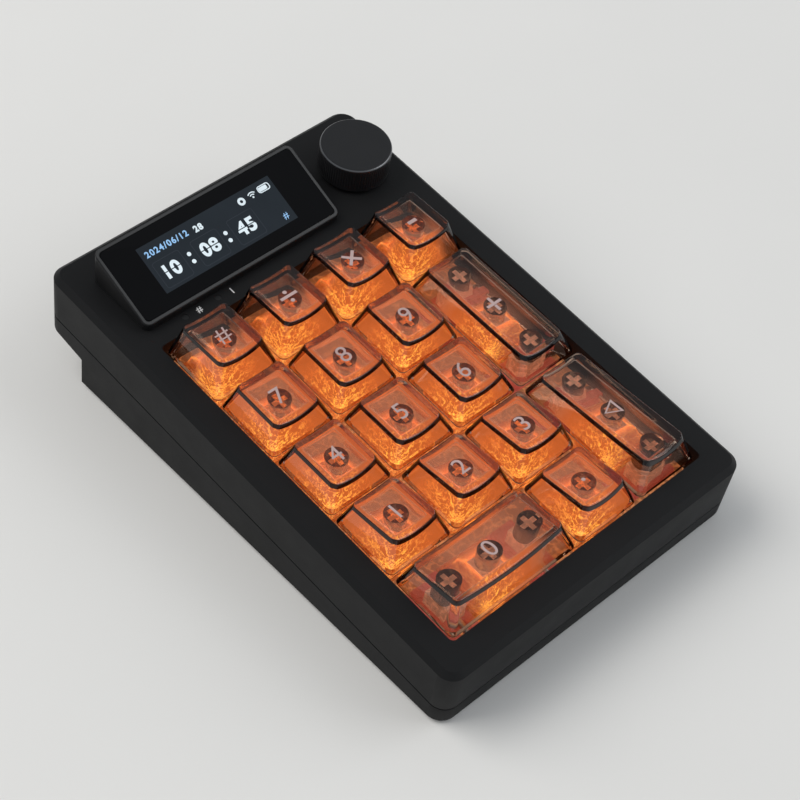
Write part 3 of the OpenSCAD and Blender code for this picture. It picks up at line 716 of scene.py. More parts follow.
CASE = Finish(
    "case_charcoal", (0.009, 0.009, 0.0094), rough=0.6, grain=0.22, relief=0.014, mottle=0.12, specular=0.2
)
POD = Finish("pod_black", (0.010, 0.010, 0.0105), rough=0.4, grain=0.3, relief=0.006, specular=0.3)
# A lighter grey frame round the glass, which paints the rim's highlight.
RIM_HIGHLIGHT = Finish("screen_rim_highlight", (0.06, 0.06, 0.06), rough=0.35, metal=0.5, grain=0.3, relief=0.003)
GLASS = Finish(
    "screen_black_glass", (0.002, 0.002, 0.0025), rough=0.06, grain=6.0, relief=0.001, specular=0.14
)
KNOB = Finish("knob_black", (0.011, 0.011, 0.012), rough=0.42, grain=0.15, relief=0.006, specular=0.35)
# A bright metal band on the knob's upper edge, which paints its highlight.
BEVEL = Finish("knob_bevel", (0.17, 0.17, 0.175), rough=0.3, metal=1.0, grain=0.2, relief=0.002)
FOOT = Finish("foot_grip", (0.02, 0.02, 0.02), rough=0.85, grain=0.4, relief=0.03)
STEEL = Finish("bright_steel", (0.62, 0.61, 0.6), rough=0.28, metal=1.0, grain=0.3, relief=0.003)
BLACK = Finish("moulded_black", (0.02, 0.02, 0.021), rough=0.45)
WHITE = Finish("moulded_white", (0.75, 0.74, 0.7), rough=0.45)
BOARD = Finish("board_green", (0.012, 0.05, 0.03), rough=0.4, patch=2.0, mottle=0.4)
CELL = Finish("cell_foil", (0.42, 0.43, 0.45), rough=0.35, metal=0.6, patch=3.0)
# Red stabiliser plastic with a painted red glow.
RED = Finish(
    "stabiliser_red_glow", (0.42, 0.14, 0.11), rough=0.35, patch=2.2, mottle=0.7,
    glow=0.22, glow_color=(1.0, 0.16, 0.12)
)
# Painted light: the plate's warm tint, glow and bright lines stand for the backlight on it.
PLATE = Finish(
    "plate_lit", (0.3, 0.19, 0.15), patch=4.0, mottle=0.3, glow=0.2, glow_color=(1.0, 0.36, 0.12), glint_size=2.4
)
# Amber stems with a painted glow and bright lines, as if lit from below.
STEM = Finish("stem_amber_glow", (0.4, 0.17, 0.07), rough=0.3, patch=1.5, mottle=0.3, glow=0.45, glint_size=1.6)
# The long keys' stems, paler, with a dimmer painted glow and bright lines.
LONG_STEM = Finish(
    "stem_dim_glow", (0.5, 0.36, 0.32), rough=0.3, patch=1.5, mottle=0.3,
    glow=0.2, glow_color=(1.0, 0.45, 0.28), glint_size=1.6
)
LAMP = Finish("lamp_warm", (0.9, 0.7, 0.4), rough=0.4, patch=1.0, glow=3.0, glow_color=(1.0, 0.5, 0.13))
PIPE = Finish("dark_light_pipe", (0.012, 0.012, 0.012), rough=0.3, specular=0.3)
PANEL = Finish("panel_dark", (0.02, 0.022, 0.027), rough=0.3)
# Smoky caps, with painted shade on their edges and painted light in their hollows.
CAP = SmokyFinish(
    "smoky_cap", (0.86, 0.72, 0.62), rough=0.02, grain=5.0, relief=0.006,
    glow=0.56, glow_color=(1.0, 0.25, 0.06), glint_size=1.3, line=0.05
)
HOUSING = HousingFinish(
    "lit_housing", (0.75, 0.4, 0.2), rough=0.18, grain=1.2, relief=0.2, glow=0.08, clear=0.4, glint_size=1.5
)
BASE = Finish(
    "lit_base", (0.9, 0.5, 0.26), rough=0.12, patch=1.2, mottle=0.3, glow=0.06, clear=0.7, glint_size=1.8
)
# Legend print with a faint painted glow.
INK = Finish("legend_ink_glow", (0.36, 0.26, 0.25), glow=0.1, glow_color=(1.0, 0.75, 0.7))
MARK = Finish("deck_mark", (0.62, 0.62, 0.62), rough=0.6)
FIELD = DisplayFinish("display_field", (0.008, 0.01, 0.012), glow_color=(0.009, 0.013, 0.018))
CARD = DisplayFinish("display_card", (0.012, 0.014, 0.018), glow_color=(0.026, 0.031, 0.04))
DIGIT = DisplayFinish("display_digit", (0.2, 0.2, 0.2), glow=0.85, glow_color=(0.78, 0.92, 1.0))
DATE = DisplayFinish("display_date", (0.1, 0.2, 0.3), glow=0.75, glow_color=(0.36, 0.62, 1.0))
PAPER = Finish("floor_paper", (0.72, 0.71, 0.69), rough=0.8, patch=60.0, mottle=0.02)

NODE_FINISHES: dict[str, Finish] = {
    "upper_case": CASE,
    "lower_case": CASE,
    "switch_plate": PLATE,
    "main_board": BOARD,
    "switch_bases": BASE,
    "switch_springs": STEEL,
    "stabiliser_housings": RED,
    "backlight_lamps": LAMP,
    "indicator_pipes": PIPE,
    "screen_pod": POD,
    "screen_glass": GLASS,
    "screen_panel": PANEL,
    "encoder_shaft": STEEL,
    "encoder_plunger": WHITE,
    "encoder_body": BLACK,
    "battery": CELL,
    "charging_port": STEEL,
    "mode_switch": BLACK,
    "mode_slider": BLACK,
    "case_screws": STEEL,
    "rubber_feet": FOOT,
    "stem": STEM,
    "stem_plus": LONG_STEM,
    "stem_enter": LONG_STEM,
    "stem_zero": LONG_STEM,
    "stabiliser_wire": STEEL,
}
# How wide the rounding of a node's edges is, in mm
ROUNDED_NODES: dict[str, float] = {
    "upper_case": 0.3,
    "lower_case": 0.3,
    "screen_pod": 0.28,
    "screen_glass": 0.2,
    "rubber_feet": 0.4,
    "mode_slider": 0.2,
    "charging_port": 0.08,
}
ROUNDING_STEPS = 3


def dress_nodes(nodes: dict[str, bpy.types.Object]) -> None:
    """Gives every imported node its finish, and rounds the edges of those that show.

    Args:
        nodes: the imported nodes' objects by name.
    """
    for name, node in nodes.items():
        finish = NODE_FINISHES.get(name) or NODE_FINISHES.get(name.rsplit("_", 1)[0])
        if finish is not None:
            node.data.materials.clear()
            node.data.materials.append(finish.material())
        if name in ROUNDED_NODES:
            weld = node.modifiers.new("weld", "WELD")
            weld.merge_threshold = MERGE_DISTANCE
            bevel = node.modifiers.new("edges", "BEVEL")
            bevel.width = ROUNDED_NODES[name] * MM
            bevel.segments = ROUNDING_STEPS
            bevel.limit_method = "ANGLE"
            bevel.angle_limit = math.radians(SHARP_ANGLE)


# Keys


class Legend(Enum):
    """What a keycap shows: a numeral or sign of the font, or a drawn arrowhead."""

    LETTER = "letter"
    ARROW = "arrow"


@dataclass(frozen=True)
class KeySpec:
    """One key: its name, its first column and row, its spans, its crown and its legend."""

    name: str
    column: int
    row: int
    wide: int
    tall: int
    rise: float
    tilt: float
    sign: str
    size: float = 1.0
    legend: Legend = Legend.LETTER

    @property
    def long(self) -> bool:
        """Whether the key spans two units."""
        return self.wide * self.tall > 1


# Each row's crown, from the rear: how far it is raised, in mm, and its tilt, in degrees
ROW_CROWNS = ((2.4, -3.0), (0.9, 0.0), (0.1, -1.0), (0.1, -9.0), (0.1, -10.0))
# Name, column, row, sign and the sign's size beside a numeral's
SINGLE_KEYS = (
    ("num", 0, 0, "#", 1.0),
    ("divide", 1, 0, "÷", 1.6),
    ("multiply", 2, 0, "×", 1.5),
    ("minus", 3, 0, "-", 1.7),
    ("seven", 0, 1, "7", 1.0),
    ("eight", 1, 1, "8", 1.0),
    ("nine", 2, 1, "9", 1.0),
    ("four", 0, 2, "4", 1.0),
    ("five", 1, 2, "5", 1.0),
    ("six", 2, 2, "6", 1.0),
    ("one", 0, 3, "1", 1.0),
    ("two", 1, 3, "2", 1.0),
    ("three", 2, 3, "3", 1.0),
    ("point", 2, 4, ".", 1.3),
)
KEYS = [
    KeySpec(name, column, row, 1, 1, *ROW_CROWNS[row], sign, size)
    for name, column, row, sign, size in SINGLE_KEYS
] + [
    KeySpec("plus", 3, 1, 1, 2, 0.1, -1.0, "+", 1.5),
    KeySpec("enter", 3, 3, 1, 2, 0.2, -6.0, "", legend=Legend.ARROW),
    KeySpec("zero", 0, 4, 2, 1, *ROW_CROWNS[4], "0"),
]


@dataclass(frozen=True)
class KeyBlock:
    """The grid of keys and the switch sizes that its caps clear."""

    columns: int = 4
    rows: int = 5
    pitch: float = 19.05
    travel: float = 4.0
    press_gap: float = 0.3
    skirt_gap: float = 0.4
    skirt: float = -1.2
    switch_rise: float = 6.6
    switch_roof: float = 9.4
    stab_reach: float = 11.938

    @property
    def plate(self) -> float:
        """The height of the plate's top."""
        return self.skirt - self.skirt_gap - self.switch_rise

    def centre(self, key: KeySpec, height: float) -> Points:
        """The middle of a key, on the grid of keys.

        Args:
            key: the key.
            height: the point's height over the deck.

        Returns:
            Its u, v and w.
        """
        u = (key.column + (key.wide - 1) / 2 - (self.columns - 1) / 2) * self.pitch
        v = ((self.rows - 1) / 2 - key.row - (key.tall - 1) / 2) * self.pitch
        return np.array([u, v, height])

    def posts(self, key: KeySpec) -> Points:
        """The posts of a key's cap: one, or three along a long key.

        Args:
            key: the key.

        Returns:
            Rows of u and v, from the key's centre.
        """
        if not key.long:
            return np.zeros((1, 2))
        along = (1, 0) if key.wide > 1 else (0, 1)
        return np.outer([-self.stab_reach, 0.0, self.stab_reach], along)


@dataclass
class Keycap:
    """A hollow keycap: rounded rings rise from its skirt to a dished crown, with posts under its roof.

    Its points are measured from the skirt's centre. The dark values are painted shade, from 0, clear, to 1,
    black.
    """

    key: KeySpec
    deck: KeyFrame
    letters: Lettering
    block: KeyBlock = KeyBlock()
    # The outside
    gap: float = 0.95
    top_w: float = 12.3
    top_d: float = 13.6
    shift: float = 0.8
    base_r: float = 1.4
    top_r: float = 1.4
    edge_r: float = 0.28
    dish: float = 1.0
    land: float = 0.4
    dish_end: float = 0.08
    dish_rings: int = 14
    wall_steps: int = 8
    sharp: float = 60.0
    # The hollow
    roof: float = 0.8
    wall: float = 1.3
    end_wall: float = 0.8
    hollow_r: float = 0.6
    inner_r: float = 0.4
    inner_steps: int = 6
    # The posts
    post_d: float = 5.5
    post_rim: float = 0.1
    socket_len: float = 4.1
    socket_t: float = 1.3
    socket_h: float = 3.25
    # The painted shade: dark edges, corner bars, posts and sockets
    dark_wall: float = 0.75
    dark_skirt: float = 0.2
    dark_rim: float = 0.4
    dark_step: float = 0.08
    dark_bend: tuple = (1.0, 1.0, 1.0, 0.7, 0.2, 0.0, 0.0)
    dark_corners: tuple = (0.0, 3.0, 0.0, 3.0)
    dark_post: tuple = (0.6, 0.45, 0.3, 0.25, 0.25, 0.45, 0.95)
    dark_side: tuple = (1.0, 1.0, 0.9, 0.8, 0.75, 0.8, 0.98)
    dark_socket: tuple = (0.95, 0.2, 0.1, 0.0)
    # The painted light that the hollow catches
    hot_point: Place = (-8.0, -7.8, 0.8)
    ceiling_share: float = 0.25
    dim: float = 0.04
    end_reach: float = 11.5
    end_fade: float = 5.0
    rear_reach: float = 1.0
    rear_fade: float = 2.5
    side_dim: float = 0.2
    side_reach: float = 5.5
    side_fade: float = 4.0
    # The legend
    legend_h: float = 4.3
    legend_shift: float = 0.5
    ink: float = 0.03
    ink_lift: float = 0.05
    arrow_corners: tuple = ((-2.5, 0.0), (1.7, -2.2), (1.7, 2.2))
    arrow_hole: float = 0.7

    def __post_init__(self) -> None:
        """Works out the cap's half sizes and heights."""
        extra = self.block.pitch * np.array([self.key.wide - 1, self.key.tall - 1])
        self.base_half = (extra + self.block.pitch - self.gap) / 2
        self.crown_half = (extra + np.array([self.top_w, self.top_d])) / 2
        self.walls = np.where(extra > 0, self.end_wall, self.wall)
        self.ceiling_half = self.crown_half - self.walls - self.inner_r
        self.tilt = math.radians(self.key.tilt)
        tilt_room = self.block.switch_roof / 2 * abs(math.tan(self.tilt))
        clear = self.block.travel + self.block.press_gap - self.block.skirt_gap
        self.hollow_top = clear + tilt_room + self.key.rise
        self.crown_top = self.hollow_top + self.roof + self.dish
        self.skin = Skin(self.deck)

    def at_cap(self, points: Points) -> Points:
        """Takes points measured from the skirt's centre to the key frame."""
        return points + self.block.centre(self.key, self.block.skirt)

    def lay(self, rings: Points, **values: Points) -> None:
        """Lofts rings measured from the skirt's centre."""
        self.skin.loft(self.at_cap(rings), **values)

    def on_crown(self, plan: Points, rise: float | Points, top: float) -> Points:
        """Places points over a tilted plane, by a turn about the u axis.

        Args:
            plan: their places in the plane, from its middle.
            rise: their heights over the plane.
            top: the height of the plane's middle.

        Returns:
            The points, measured from the skirt's centre.
        """
        lean, stand = math.sin(self.tilt), math.cos(self.tilt)
        x, y = plan[..., 0], plan[..., 1]
        return np.stack([x, self.shift + y * stand - rise * lean, top + y * lean + rise * stand], axis=-1)

    def dip(self, x: Points) -> Points:
        """The dish: a cylinder along v between two flat lands.

        Args:
            x: places across the crown, from its middle.

        Returns:
            Heights over the crown's plane: zero on the lands and below zero between them.
        """
        chord = self.crown_half[0] - self.land
        radius = (chord**2 + self.dish**2) / (2 * self.dish)
        curve = np.sqrt(radius**2 - np.minimum(np.abs(x), chord) ** 2)
        return radius - self.dish - curve

    def outer(self) -> Points:
        """Lofts the outside: straight walls, a rounded top edge and the dish, with painted shade along its
        edges.

        Returns:
            The skirt's outer ring.
        """
        base = at_height(rounded_ring(*self.base_half, self.base_r), 0.0)
        crown = rounded_ring(*self.crown_half, self.top_r)
        flat = self.on_crown(crown, 0.0, self.crown_top)
        fall = (base - flat) / self.crown_top
        edge = flat - fall * self.dip(crown[:, :1])
        low = edge + fall * self.edge_r
        band = low + fall * self.dark_wall
        foot = base - fall * self.dark_skirt
        clear = foot - fall * self.dark_step
        walls = lerp(clear, band, self.wall_steps)
        rim = rounded_ring(*(self.crown_half - self.edge_r), self.top_r - self.edge_r)
        plan = rim * np.linspace(1.0, self.dish_end, self.dish_rings)[:, None, None]
        top = self.on_crown(plan, self.dip(plan[..., 0]), self.crown_top)
        # Painted shade: dark bands at the skirt and along the top edge, and dark bars down the rear left and
        # front right corners.
        bars = np.minimum(corner_weight(self.dark_corners), 1.0)
        full = np.ones(len(crown))
        self.lay(np.stack([base, foot, clear]), edge=np.stack([full * self.dark_rim, full, bars]))
        self.lay(walls, edge=np.tile(bars, (len(walls), 1)))
        self.lay(np.stack([band, band - fall * self.dark_step, low]), edge=np.stack([bars, full, full]))
        self.lay(bend(low, edge, top[0], len(self.dark_bend) - 1), edge=np.outer(self.dark_bend, full))
        self.lay(top)
        self.skin.lid(self.at_cap(top[-1]))
        return base

    def caught(self, points: Points, share: float | Points = 1.0) -> dict[str, Points]:
        """The painted light that the hollow catches: less, as painted shade, at a long key's ends and beside
        the dark deck.

        Args:
            points: points measured from the skirt's centre.
            share: how much of the light these points show.

        Returns:
            The strength, the distance from the hot point and the vector from it, as vertex values.
        """
        u, v = points[..., 0], points[..., 1]
        lit = np.broadcast_to(share, u.shape)
        if self.key.long:
            along = np.abs(u if self.key.wide > 1 else v)
            lit = lit * np.clip((self.end_reach - along) / self.end_fade, self.dim, 1.0)
        if self.key.row == 0:
            lit = lit * np.clip((self.rear_reach - v) / self.rear_fade, self.dim, 1.0)
        if self.key.column == self.block.columns - 1:
            lit = lit * np.clip((self.side_reach - u) / self.side_fade, self.side_dim, 1.0)
        lamp = points - np.array(self.hot_point)
        return {"caught": lit, "away": np.linalg.norm(lamp, axis=-1), "lamp": lamp}

    def inner(self, skirt: Points) -> None:
        """Lofts the hollow: the skirt's rim, straight walls, a rounded ceiling edge and what is over it.

        Args:
            skirt: the skirt's outer ring.
        """
        base = at_height(rounded_ring(*(self.base_half - self.walls), self.base_r), 0.0)
        crown = rounded_ring(*(self.crown_half - self.walls), self.hollow_r)
        inset = rounded_ring(*self.ceiling_half, self.hollow_r - self.inner_r)
        edge = self.on_crown(crown, 0.0, self.hollow_top)
        high = self.on_crown(inset, 0.0, self.hollow_top)
        low = edge + (base - edge) * self.inner_r / self.hollow_top
        foot = base + (low - base) * self.dark_step / self.hollow_top
        rim = np.stack([skirt, base, foot])
        walls = lerp(foot, low, self.wall_steps)
        turn = bend(low, edge, high, self.inner_steps)
        shares = np.linspace(1.0, self.ceiling_share, len(turn))[:, None]
        full = np.ones(len(base))
        # Painted shade on the skirt's rim; the hollow's faces carry painted light.
        dark = np.outer([self.dark_rim, self.dark_rim, 0.0], full)
        self.lay(rim, edge=dark, **self.caught(rim, np.outer([0.0, 0.0, 1.0], full)))
        self.lay(walls, **self.caught(walls))
        self.lay(turn, **self.caught(turn, shares))
        self.hang_posts(inset)

    def hang_posts(self, inset: Points) -> None:
        """Fills the ceiling round its posts, and lofts each post down from it.

        Args:
            inset: the ceiling's outline, in the tilted plane.
        """
        socket = cross_ring(self.socket_len, self.socket_t)
        circle = circle_like(socket, self.post_d / 2)
        around = circle_like(socket, self.post_d / 2 + self.post_rim)
        posts = self.block.posts(self.key)
        holes = [self.inside(around + post, self.post_rim) for post in posts]
        self.ceiling(inset, holes)
        for post, hole in zip(posts, holes):
            ring = self.inside(circle + post, self.post_rim * 2)
            # Painted shade: the side posts of a long key are darker than the middle one.
            dark = self.dark_side if np.any(post) else self.dark_post
            self.post(hole, ring, socket + post, dark)

    def inside(self, ring: Points, margin: float) -> Points:
        """Clips a post's outline to the ceiling, which gives a post beside an end wall a flat side.

        Args:
            ring: the outline, in plan.
            margin: how far inside the ceiling's edge it stays.

        Returns:
            The clipped outline.
        """
        half = self.ceiling_half * [1.0, math.cos(self.tilt)] - margin
        middle = np.array([0.0, self.shift])
        return np.clip(ring, middle - half, middle + half)

    def under_roof(self, plan: Points) -> Points:
        """Lifts points of the plan to the tilted ceiling."""
        return at_height(plan, self.hollow_top + (plan[:, 1] - self.shift) * math.tan(self.tilt))

    def ceiling(self, inset: Points, rings: list[Points]) -> None:
        """Fills the flat ceiling between its own outline and the posts with triangles.

        Args:
            inset: the ceiling's outline, in the tilted plane.
            rings: the posts' outlines, in plan.
        """
        loops = [inset * [1.0, math.cos(self.tilt)] + [0.0, self.shift], *rings]
        starts = np.cumsum([0] + [len(loop) for loop in loops])
        edges = np.concatenate([
            np.stack([np.arange(len(loop)), np.roll(np.arange(len(loop)), -1)], axis=-1) + start
            for loop, start in zip(loops, starts)
        ])
        spots = [Vector(spot) for spot in np.concatenate(loops).tolist()]
        found = delaunay_2d_cdt(spots, edges.tolist(), [], FILL_INSIDE, FILL_TOLERANCE)
        roof = self.under_roof(np.array([tuple(spot) for spot in found[0]]))
        faces = np.array(found[2])
        loop_of = np.searchsorted(starts, [ids[0] for ids in found[3]], side="right") - 1
        first = loop_of[faces[:, 0]]
        in_post = (loop_of[faces] == first[:, None]).all(axis=1) & (first > 0)
        self.skin.add(self.at_cap(roof), faces[~in_post], **self.caught(roof, self.ceiling_share))

    def post(self, around: Points, ring: Points, socket: Points, dark: tuple) -> None:
        """Lofts a post: from the ceiling down its side, over its foot and up into its cross socket, with
        painted shade on them.

        Args:
            around: the hole in the ceiling, in plan.
            ring: the post's outline, in plan.
            socket: its socket's outline, in plan.
            dark: how dark the painted shade on its side is, from its root to its foot.
        """
        top = self.under_roof(ring)
        root = np.stack([self.under_roof(around), top])
        foot = at_height(ring, 0.0)
        mouth = at_height(socket, 0.0)
        end = at_height(socket, self.socket_h)
        full = np.ones(len(ring))
        lit = self.caught(root, np.outer([self.ceiling_share, 0.0], full))
        self.lay(root, edge=np.outer([0.0, dark[0]], full), **lit)
        self.lay(lerp(top, foot, len(dark) - 1), edge=np.outer(dark, full))
        self.lay(np.stack([foot, mouth]), edge=np.outer([dark[-1], self.dark_socket[0]], full))
        self.lay(lerp(mouth, end, len(self.dark_socket) - 1), edge=np.outer(self.dark_socket, full))
        self.skin.lid(self.at_cap(end))

    def legend(self) -> bpy.types.Object:
        """Draws the legend as thin ink that follows the dish.

        Returns:
            The piece.
        """
        if self.key.legend is Legend.ARROW:
            points, faces = self.arrow()
        else:
            setting = Setting(self.legend_h * self.key.size)
            points, faces = self.letters.outline(self.key.sign, setting, self.ink)
        plan = points[:, :2] + [0.0, self.legend_shift - self.shift]
        rise = points[:, 2] + self.dip(points[:, 0]) + self.ink_lift
        skin = Skin(self.deck)
        skin.add(self.at_cap(self.on_crown(plan, rise, self.crown_top)), faces)
        return skin.make(f"legend_{self.key.name}", INK.material())

    def arrow(self) -> tuple[Points, Points]:
        """An open arrowhead pointing left: a triangle's outline between an outer and an inner ring.

        Returns:
            Its points, the lower rings first, and its faces.
        """
        outer = np.array(self.arrow_corners)
        count = len(outer)
        ring = np.concatenate([outer, outer * self.arrow_hole])
        points = np.concatenate([at_height(ring, -self.ink / 2), at_height(ring, self.ink / 2)])
        side = np.arange(count)
        after = (side + 1) % count
        flat = np.stack([side, after, after + count, side + count], axis=-1)
        wall = np.stack([side, after, after + 2 * count, side + 2 * count], axis=-1)
        return points, np.concatenate([flat, flat + 2 * count, wall, wall + count])

    def build(self) -> None:
        """Makes the cap and its legend, which ride on their key."""
        name = self.key.name
        self.inner(self.outer())
        cap = self.skin.make(f"cap_{name}", CAP.material(), self.sharp)
        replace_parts(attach(cap, f"key_{name}"), f"keycap_{name}")
        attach(self.legend(), f"key_{name}")


@dataclass
class SwitchTops:
    """The clear upper housings of the switches, as one piece of separate lofted shells.

    Outside and inside give the half width and the height over the plate of each ring. Fluted gives the first
    fluted ring and the first plain one over it.
    """

    deck: KeyFrame
    block: KeyBlock = KeyBlock()
    outside: tuple = (
        (7.0, 1.0), (6.92, 1.7), (6.6, 1.8), (6.32, 2.45), (6.03, 3.15), (5.72, 3.9), (5.45, 4.05),
        (4.86, 6.25), (4.6, 6.6)
    )
    inside: tuple = ((4.0, 5.35), (5.0, 3.2), (5.8, 1.0))
    outside_r: float = 0.9
    inside_r: float = 0.5
    throat_u: float = 3.4
    throat_v: float = 2.95
    throat_r: float = 0.3
    throat_low: float = 5.45
    fluted: tuple = (2, 7)
    flutes: int = 7
    flute_depth: float = 0.14
    hot_corner: Place = (5.7, -5.7, 3.4)
    throat_glint: float = 1.0

    def shell(self) -> Points:
        """One housing: up the fluted outside, across the roof, down the throat and the inside.

        Returns:
            Its rings, measured from the plate under the key's middle.
        """
        rings = [at_height(rounded_ring(half, half, self.outside_r), w) for half, w in self.outside]
        phase = np.linspace(0, 2 * np.pi * SIDES * self.flutes, len(rings[0]), endpoint=False)
        swell = 1 + self.flute_depth * np.cos(phase) / self.outside[0][0]
        for row in range(*self.fluted):
            rings[row] = rings[row] * np.column_stack([swell, swell, np.ones(len(swell))])
        throat = rounded_ring(self.throat_u, self.throat_v, self.throat_r)
        rings += [at_height(throat, self.outside[-1][1]), at_height(throat, self.throat_low)]
        rings += [at_height(rounded_ring(half, half, self.inside_r), w) for half, w in self.inside]
        return np.stack(rings)

    def build(self) -> None:
        """Makes the housings, each with the vectors from the nearer of its two hot front corners."""
        skin = Skin(self.deck)
        shell = self.shell()
        # Painted light: the hot front corners, from which the housing's glow and streaks fan out.
        corner = np.array(self.hot_corner)
        lamp = shell - np.where(shell[..., :1] > 0, corner, corner * [-1, 1, 1])
        away = np.linalg.norm(lamp, axis=-1)
        top = len(self.outside)
        # Painted highlights: glints at the roof's corners and a bright glow round the throat.
        glint = np.zeros(shell.shape[:2])
        glint[top - 2:top] = corner_weight()
        glint[top:top + 2] = self.throat_glint
        for key in KEYS:
            place = self.block.centre(key, self.block.plate)
            skin.loft(shell + place, closed=True, lamp=lamp, away=away, glint=glint)
        tops = skin.make("clear_switch_tops", HOUSING.material())
        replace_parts(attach(tops, "case"), "switch_tops")


# Screen, knob and marks


class Level(IntEnum):
    """The layers of the display, counted up from the glass."""

    FIELD = 0
    CARD = 1
    SIGN = 2
    SLIT = 4


@dataclass(frozen=True)
class Tile:
    """A thin rounded tile, or a frame where border gives the width of its border."""

    width: float
    depth: float
    radius: float
    border: float = 0.0


@dataclass
class ClockScreen:
    """What the display shows: a slate field with cards, numerals, a date and small signs, on the glass.

    Places on the field are shares of its width and of its depth, from its upper left corner.
    """

    deck: KeyFrame
    letters: Lettering
    pod_u: float = -9.55
    pod_front: float = 52.925
    pod_front_h: float = 2.0
    pod_d: float = 20.0
    pod_slope: float = 19.4
    field_shift: float = -0.5
    layer: float = 0.02
    arc_steps: int = 6
    side_steps: int = 2
    least_r: float = 0.05
    ground: Tile = Tile(39.0, 12.4, 0.15)
    rim: Tile = Tile(57.5, 20.7, 1.4, 0.6)
    # The clock
    clock: tuple = ((0.125, "10"), (0.405, "08"), (0.68, "45"))
    clock_down: float = 0.648
    clock_setting: Setting = Setting(3.3, 0.04, 1.14)
    card: Tile = Tile(7.6, 7.0, 0.7, 0.1)
    card_down: float = 0.66
    slit: Tile = Tile(6.4, 0.22, 0.1)
    dot: Tile = Tile(1.05, 1.05, 0.52)
    dots_across: tuple = (0.265, 0.54)
    dots_down: tuple = (0.565, 0.73)
    # The date and the lower sign
    date_lines: tuple = (
        ("2024/06/12", (0.185, 0.19), Setting(1.5, 0.03, 1.24)),
        ("#", (0.94, 0.86), Setting(1.7)),
    )
    day: str = "28"
    day_place: Span = (0.415, 0.215)
    day_setting: Setting = Setting(1.5, 0.05, 1.2)
    # The upper signs
    ring: Tile = Tile(2.0, 2.0, 0.98, 0.6)
    ring_place: Span = (0.752, 0.195)
    signal_place: Span = (0.836, 0.24)
    signal_arcs: tuple = ((0.68, 0.28), (1.26, 0.28))
    signal_steps: int = 13
    signal_dot: Tile = Tile(0.5, 0.5, 0.24)
    signal_lift: float = 0.1
    cell: Tile = Tile(3.5, 1.85, 0.7, 0.24)
    cell_place: Span = (0.928, 0.17)
    charge: Tile = Tile(2.4, 1.1, 0.25)
    charge_shift: float = -0.25

    def on_face(self, points: Points, level: Level) -> Points:
        """Takes points on the display to the key frame: a turn about u by the pod's slope, and a lift.

        Args:
            points: rows of places from the display's middle.
            level: the layer that they are on.

        Returns:
            Rows of u, v and w.
        """
        slope = math.radians(self.pod_slope)
        y = points[:, 1] + self.pod_d / math.cos(slope) / 2
        z = points[:, 2] + self.layer * level
        u = points[:, 0] + self.pod_u + self.field_shift
        v = self.pod_front + y * math.cos(slope) - z * math.sin(slope)
        w = self.pod_front_h + y * math.sin(slope) + z * math.cos(slope)
        return np.stack([u, v, w], axis=-1)

    def spot(self, across: float, down: float) -> Points:
        """A place on the field, from the display's middle."""
        return np.array([(across - 0.5) * self.ground.width, (0.5 - down) * self.ground.depth, 0.0])

    def pair(self, ring: Points, middle: Points, level: Level) -> Points:
        """The lower and the upper ring of a flat sign's side."""
        return np.stack([self.on_face(at_height(ring, z) + middle, level) for z in (0.0, self.layer)])

    def tile(self, skin: Skin, shape: Tile, middle: Points, level: Level) -> None:
        """Adds a tile: a closed pair of rings, or a loop over the four rings of a frame.

        Args:
            skin: the mesh in hand.
            shape: its sizes.
            middle: its place, from the display's middle.
            level: the layer that it is on.
        """
        steps = (self.arc_steps, self.side_steps)
        half = np.array([shape.width, shape.depth]) / 2
        rings = self.pair(rounded_ring(*half, shape.radius, *steps), middle, level)
        if not shape.border:
            skin.solid(rings)
            return
        radius = max(shape.radius - shape.border, self.least_r)
        hole = self.pair(rounded_ring(*(half - shape.border), radius, *steps), middle, level)
        skin.loft(np.concatenate([rings, hole[::-1]]), closed=True)

    def words(self, skin: Skin, text: str, place: Span, setting: Setting) -> None:
        """Adds a line of numerals or signs, lifted clear of the cards."""
        points, faces = self.letters.outline(text, setting, self.layer)
        skin.add(self.on_face(points + self.spot(*place), Level.SIGN), faces)

    def signal(self, skin: Skin) -> None:
        """Adds a signal sign: a dot, and quarter-turn arcs between two radii over it.

        Args:
            skin: the mesh in hand.
        """
        middle = self.spot(*self.signal_place)
        turns = np.linspace(np.pi / 4, 3 * np.pi / 4, self.signal_steps)
        for radius, thick in self.signal_arcs:
            inner = np.stack([np.cos(turns), np.sin(turns)], axis=-1) * radius
            outer = inner * (radius + thick) / radius
            skin.solid(self.pair(np.concatenate([inner, outer[::-1]]), middle, Level.SIGN))
        self.tile(skin, self.signal_dot, middle + np.array([0.0, self.signal_lift, 0.0]), Level.SIGN)

    def dress(self, skin: Skin, name: str, finish: Finish) -> None:
        """Makes one layer of the display, which rides on the case."""
        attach(skin.make(name, finish.material()), "case")

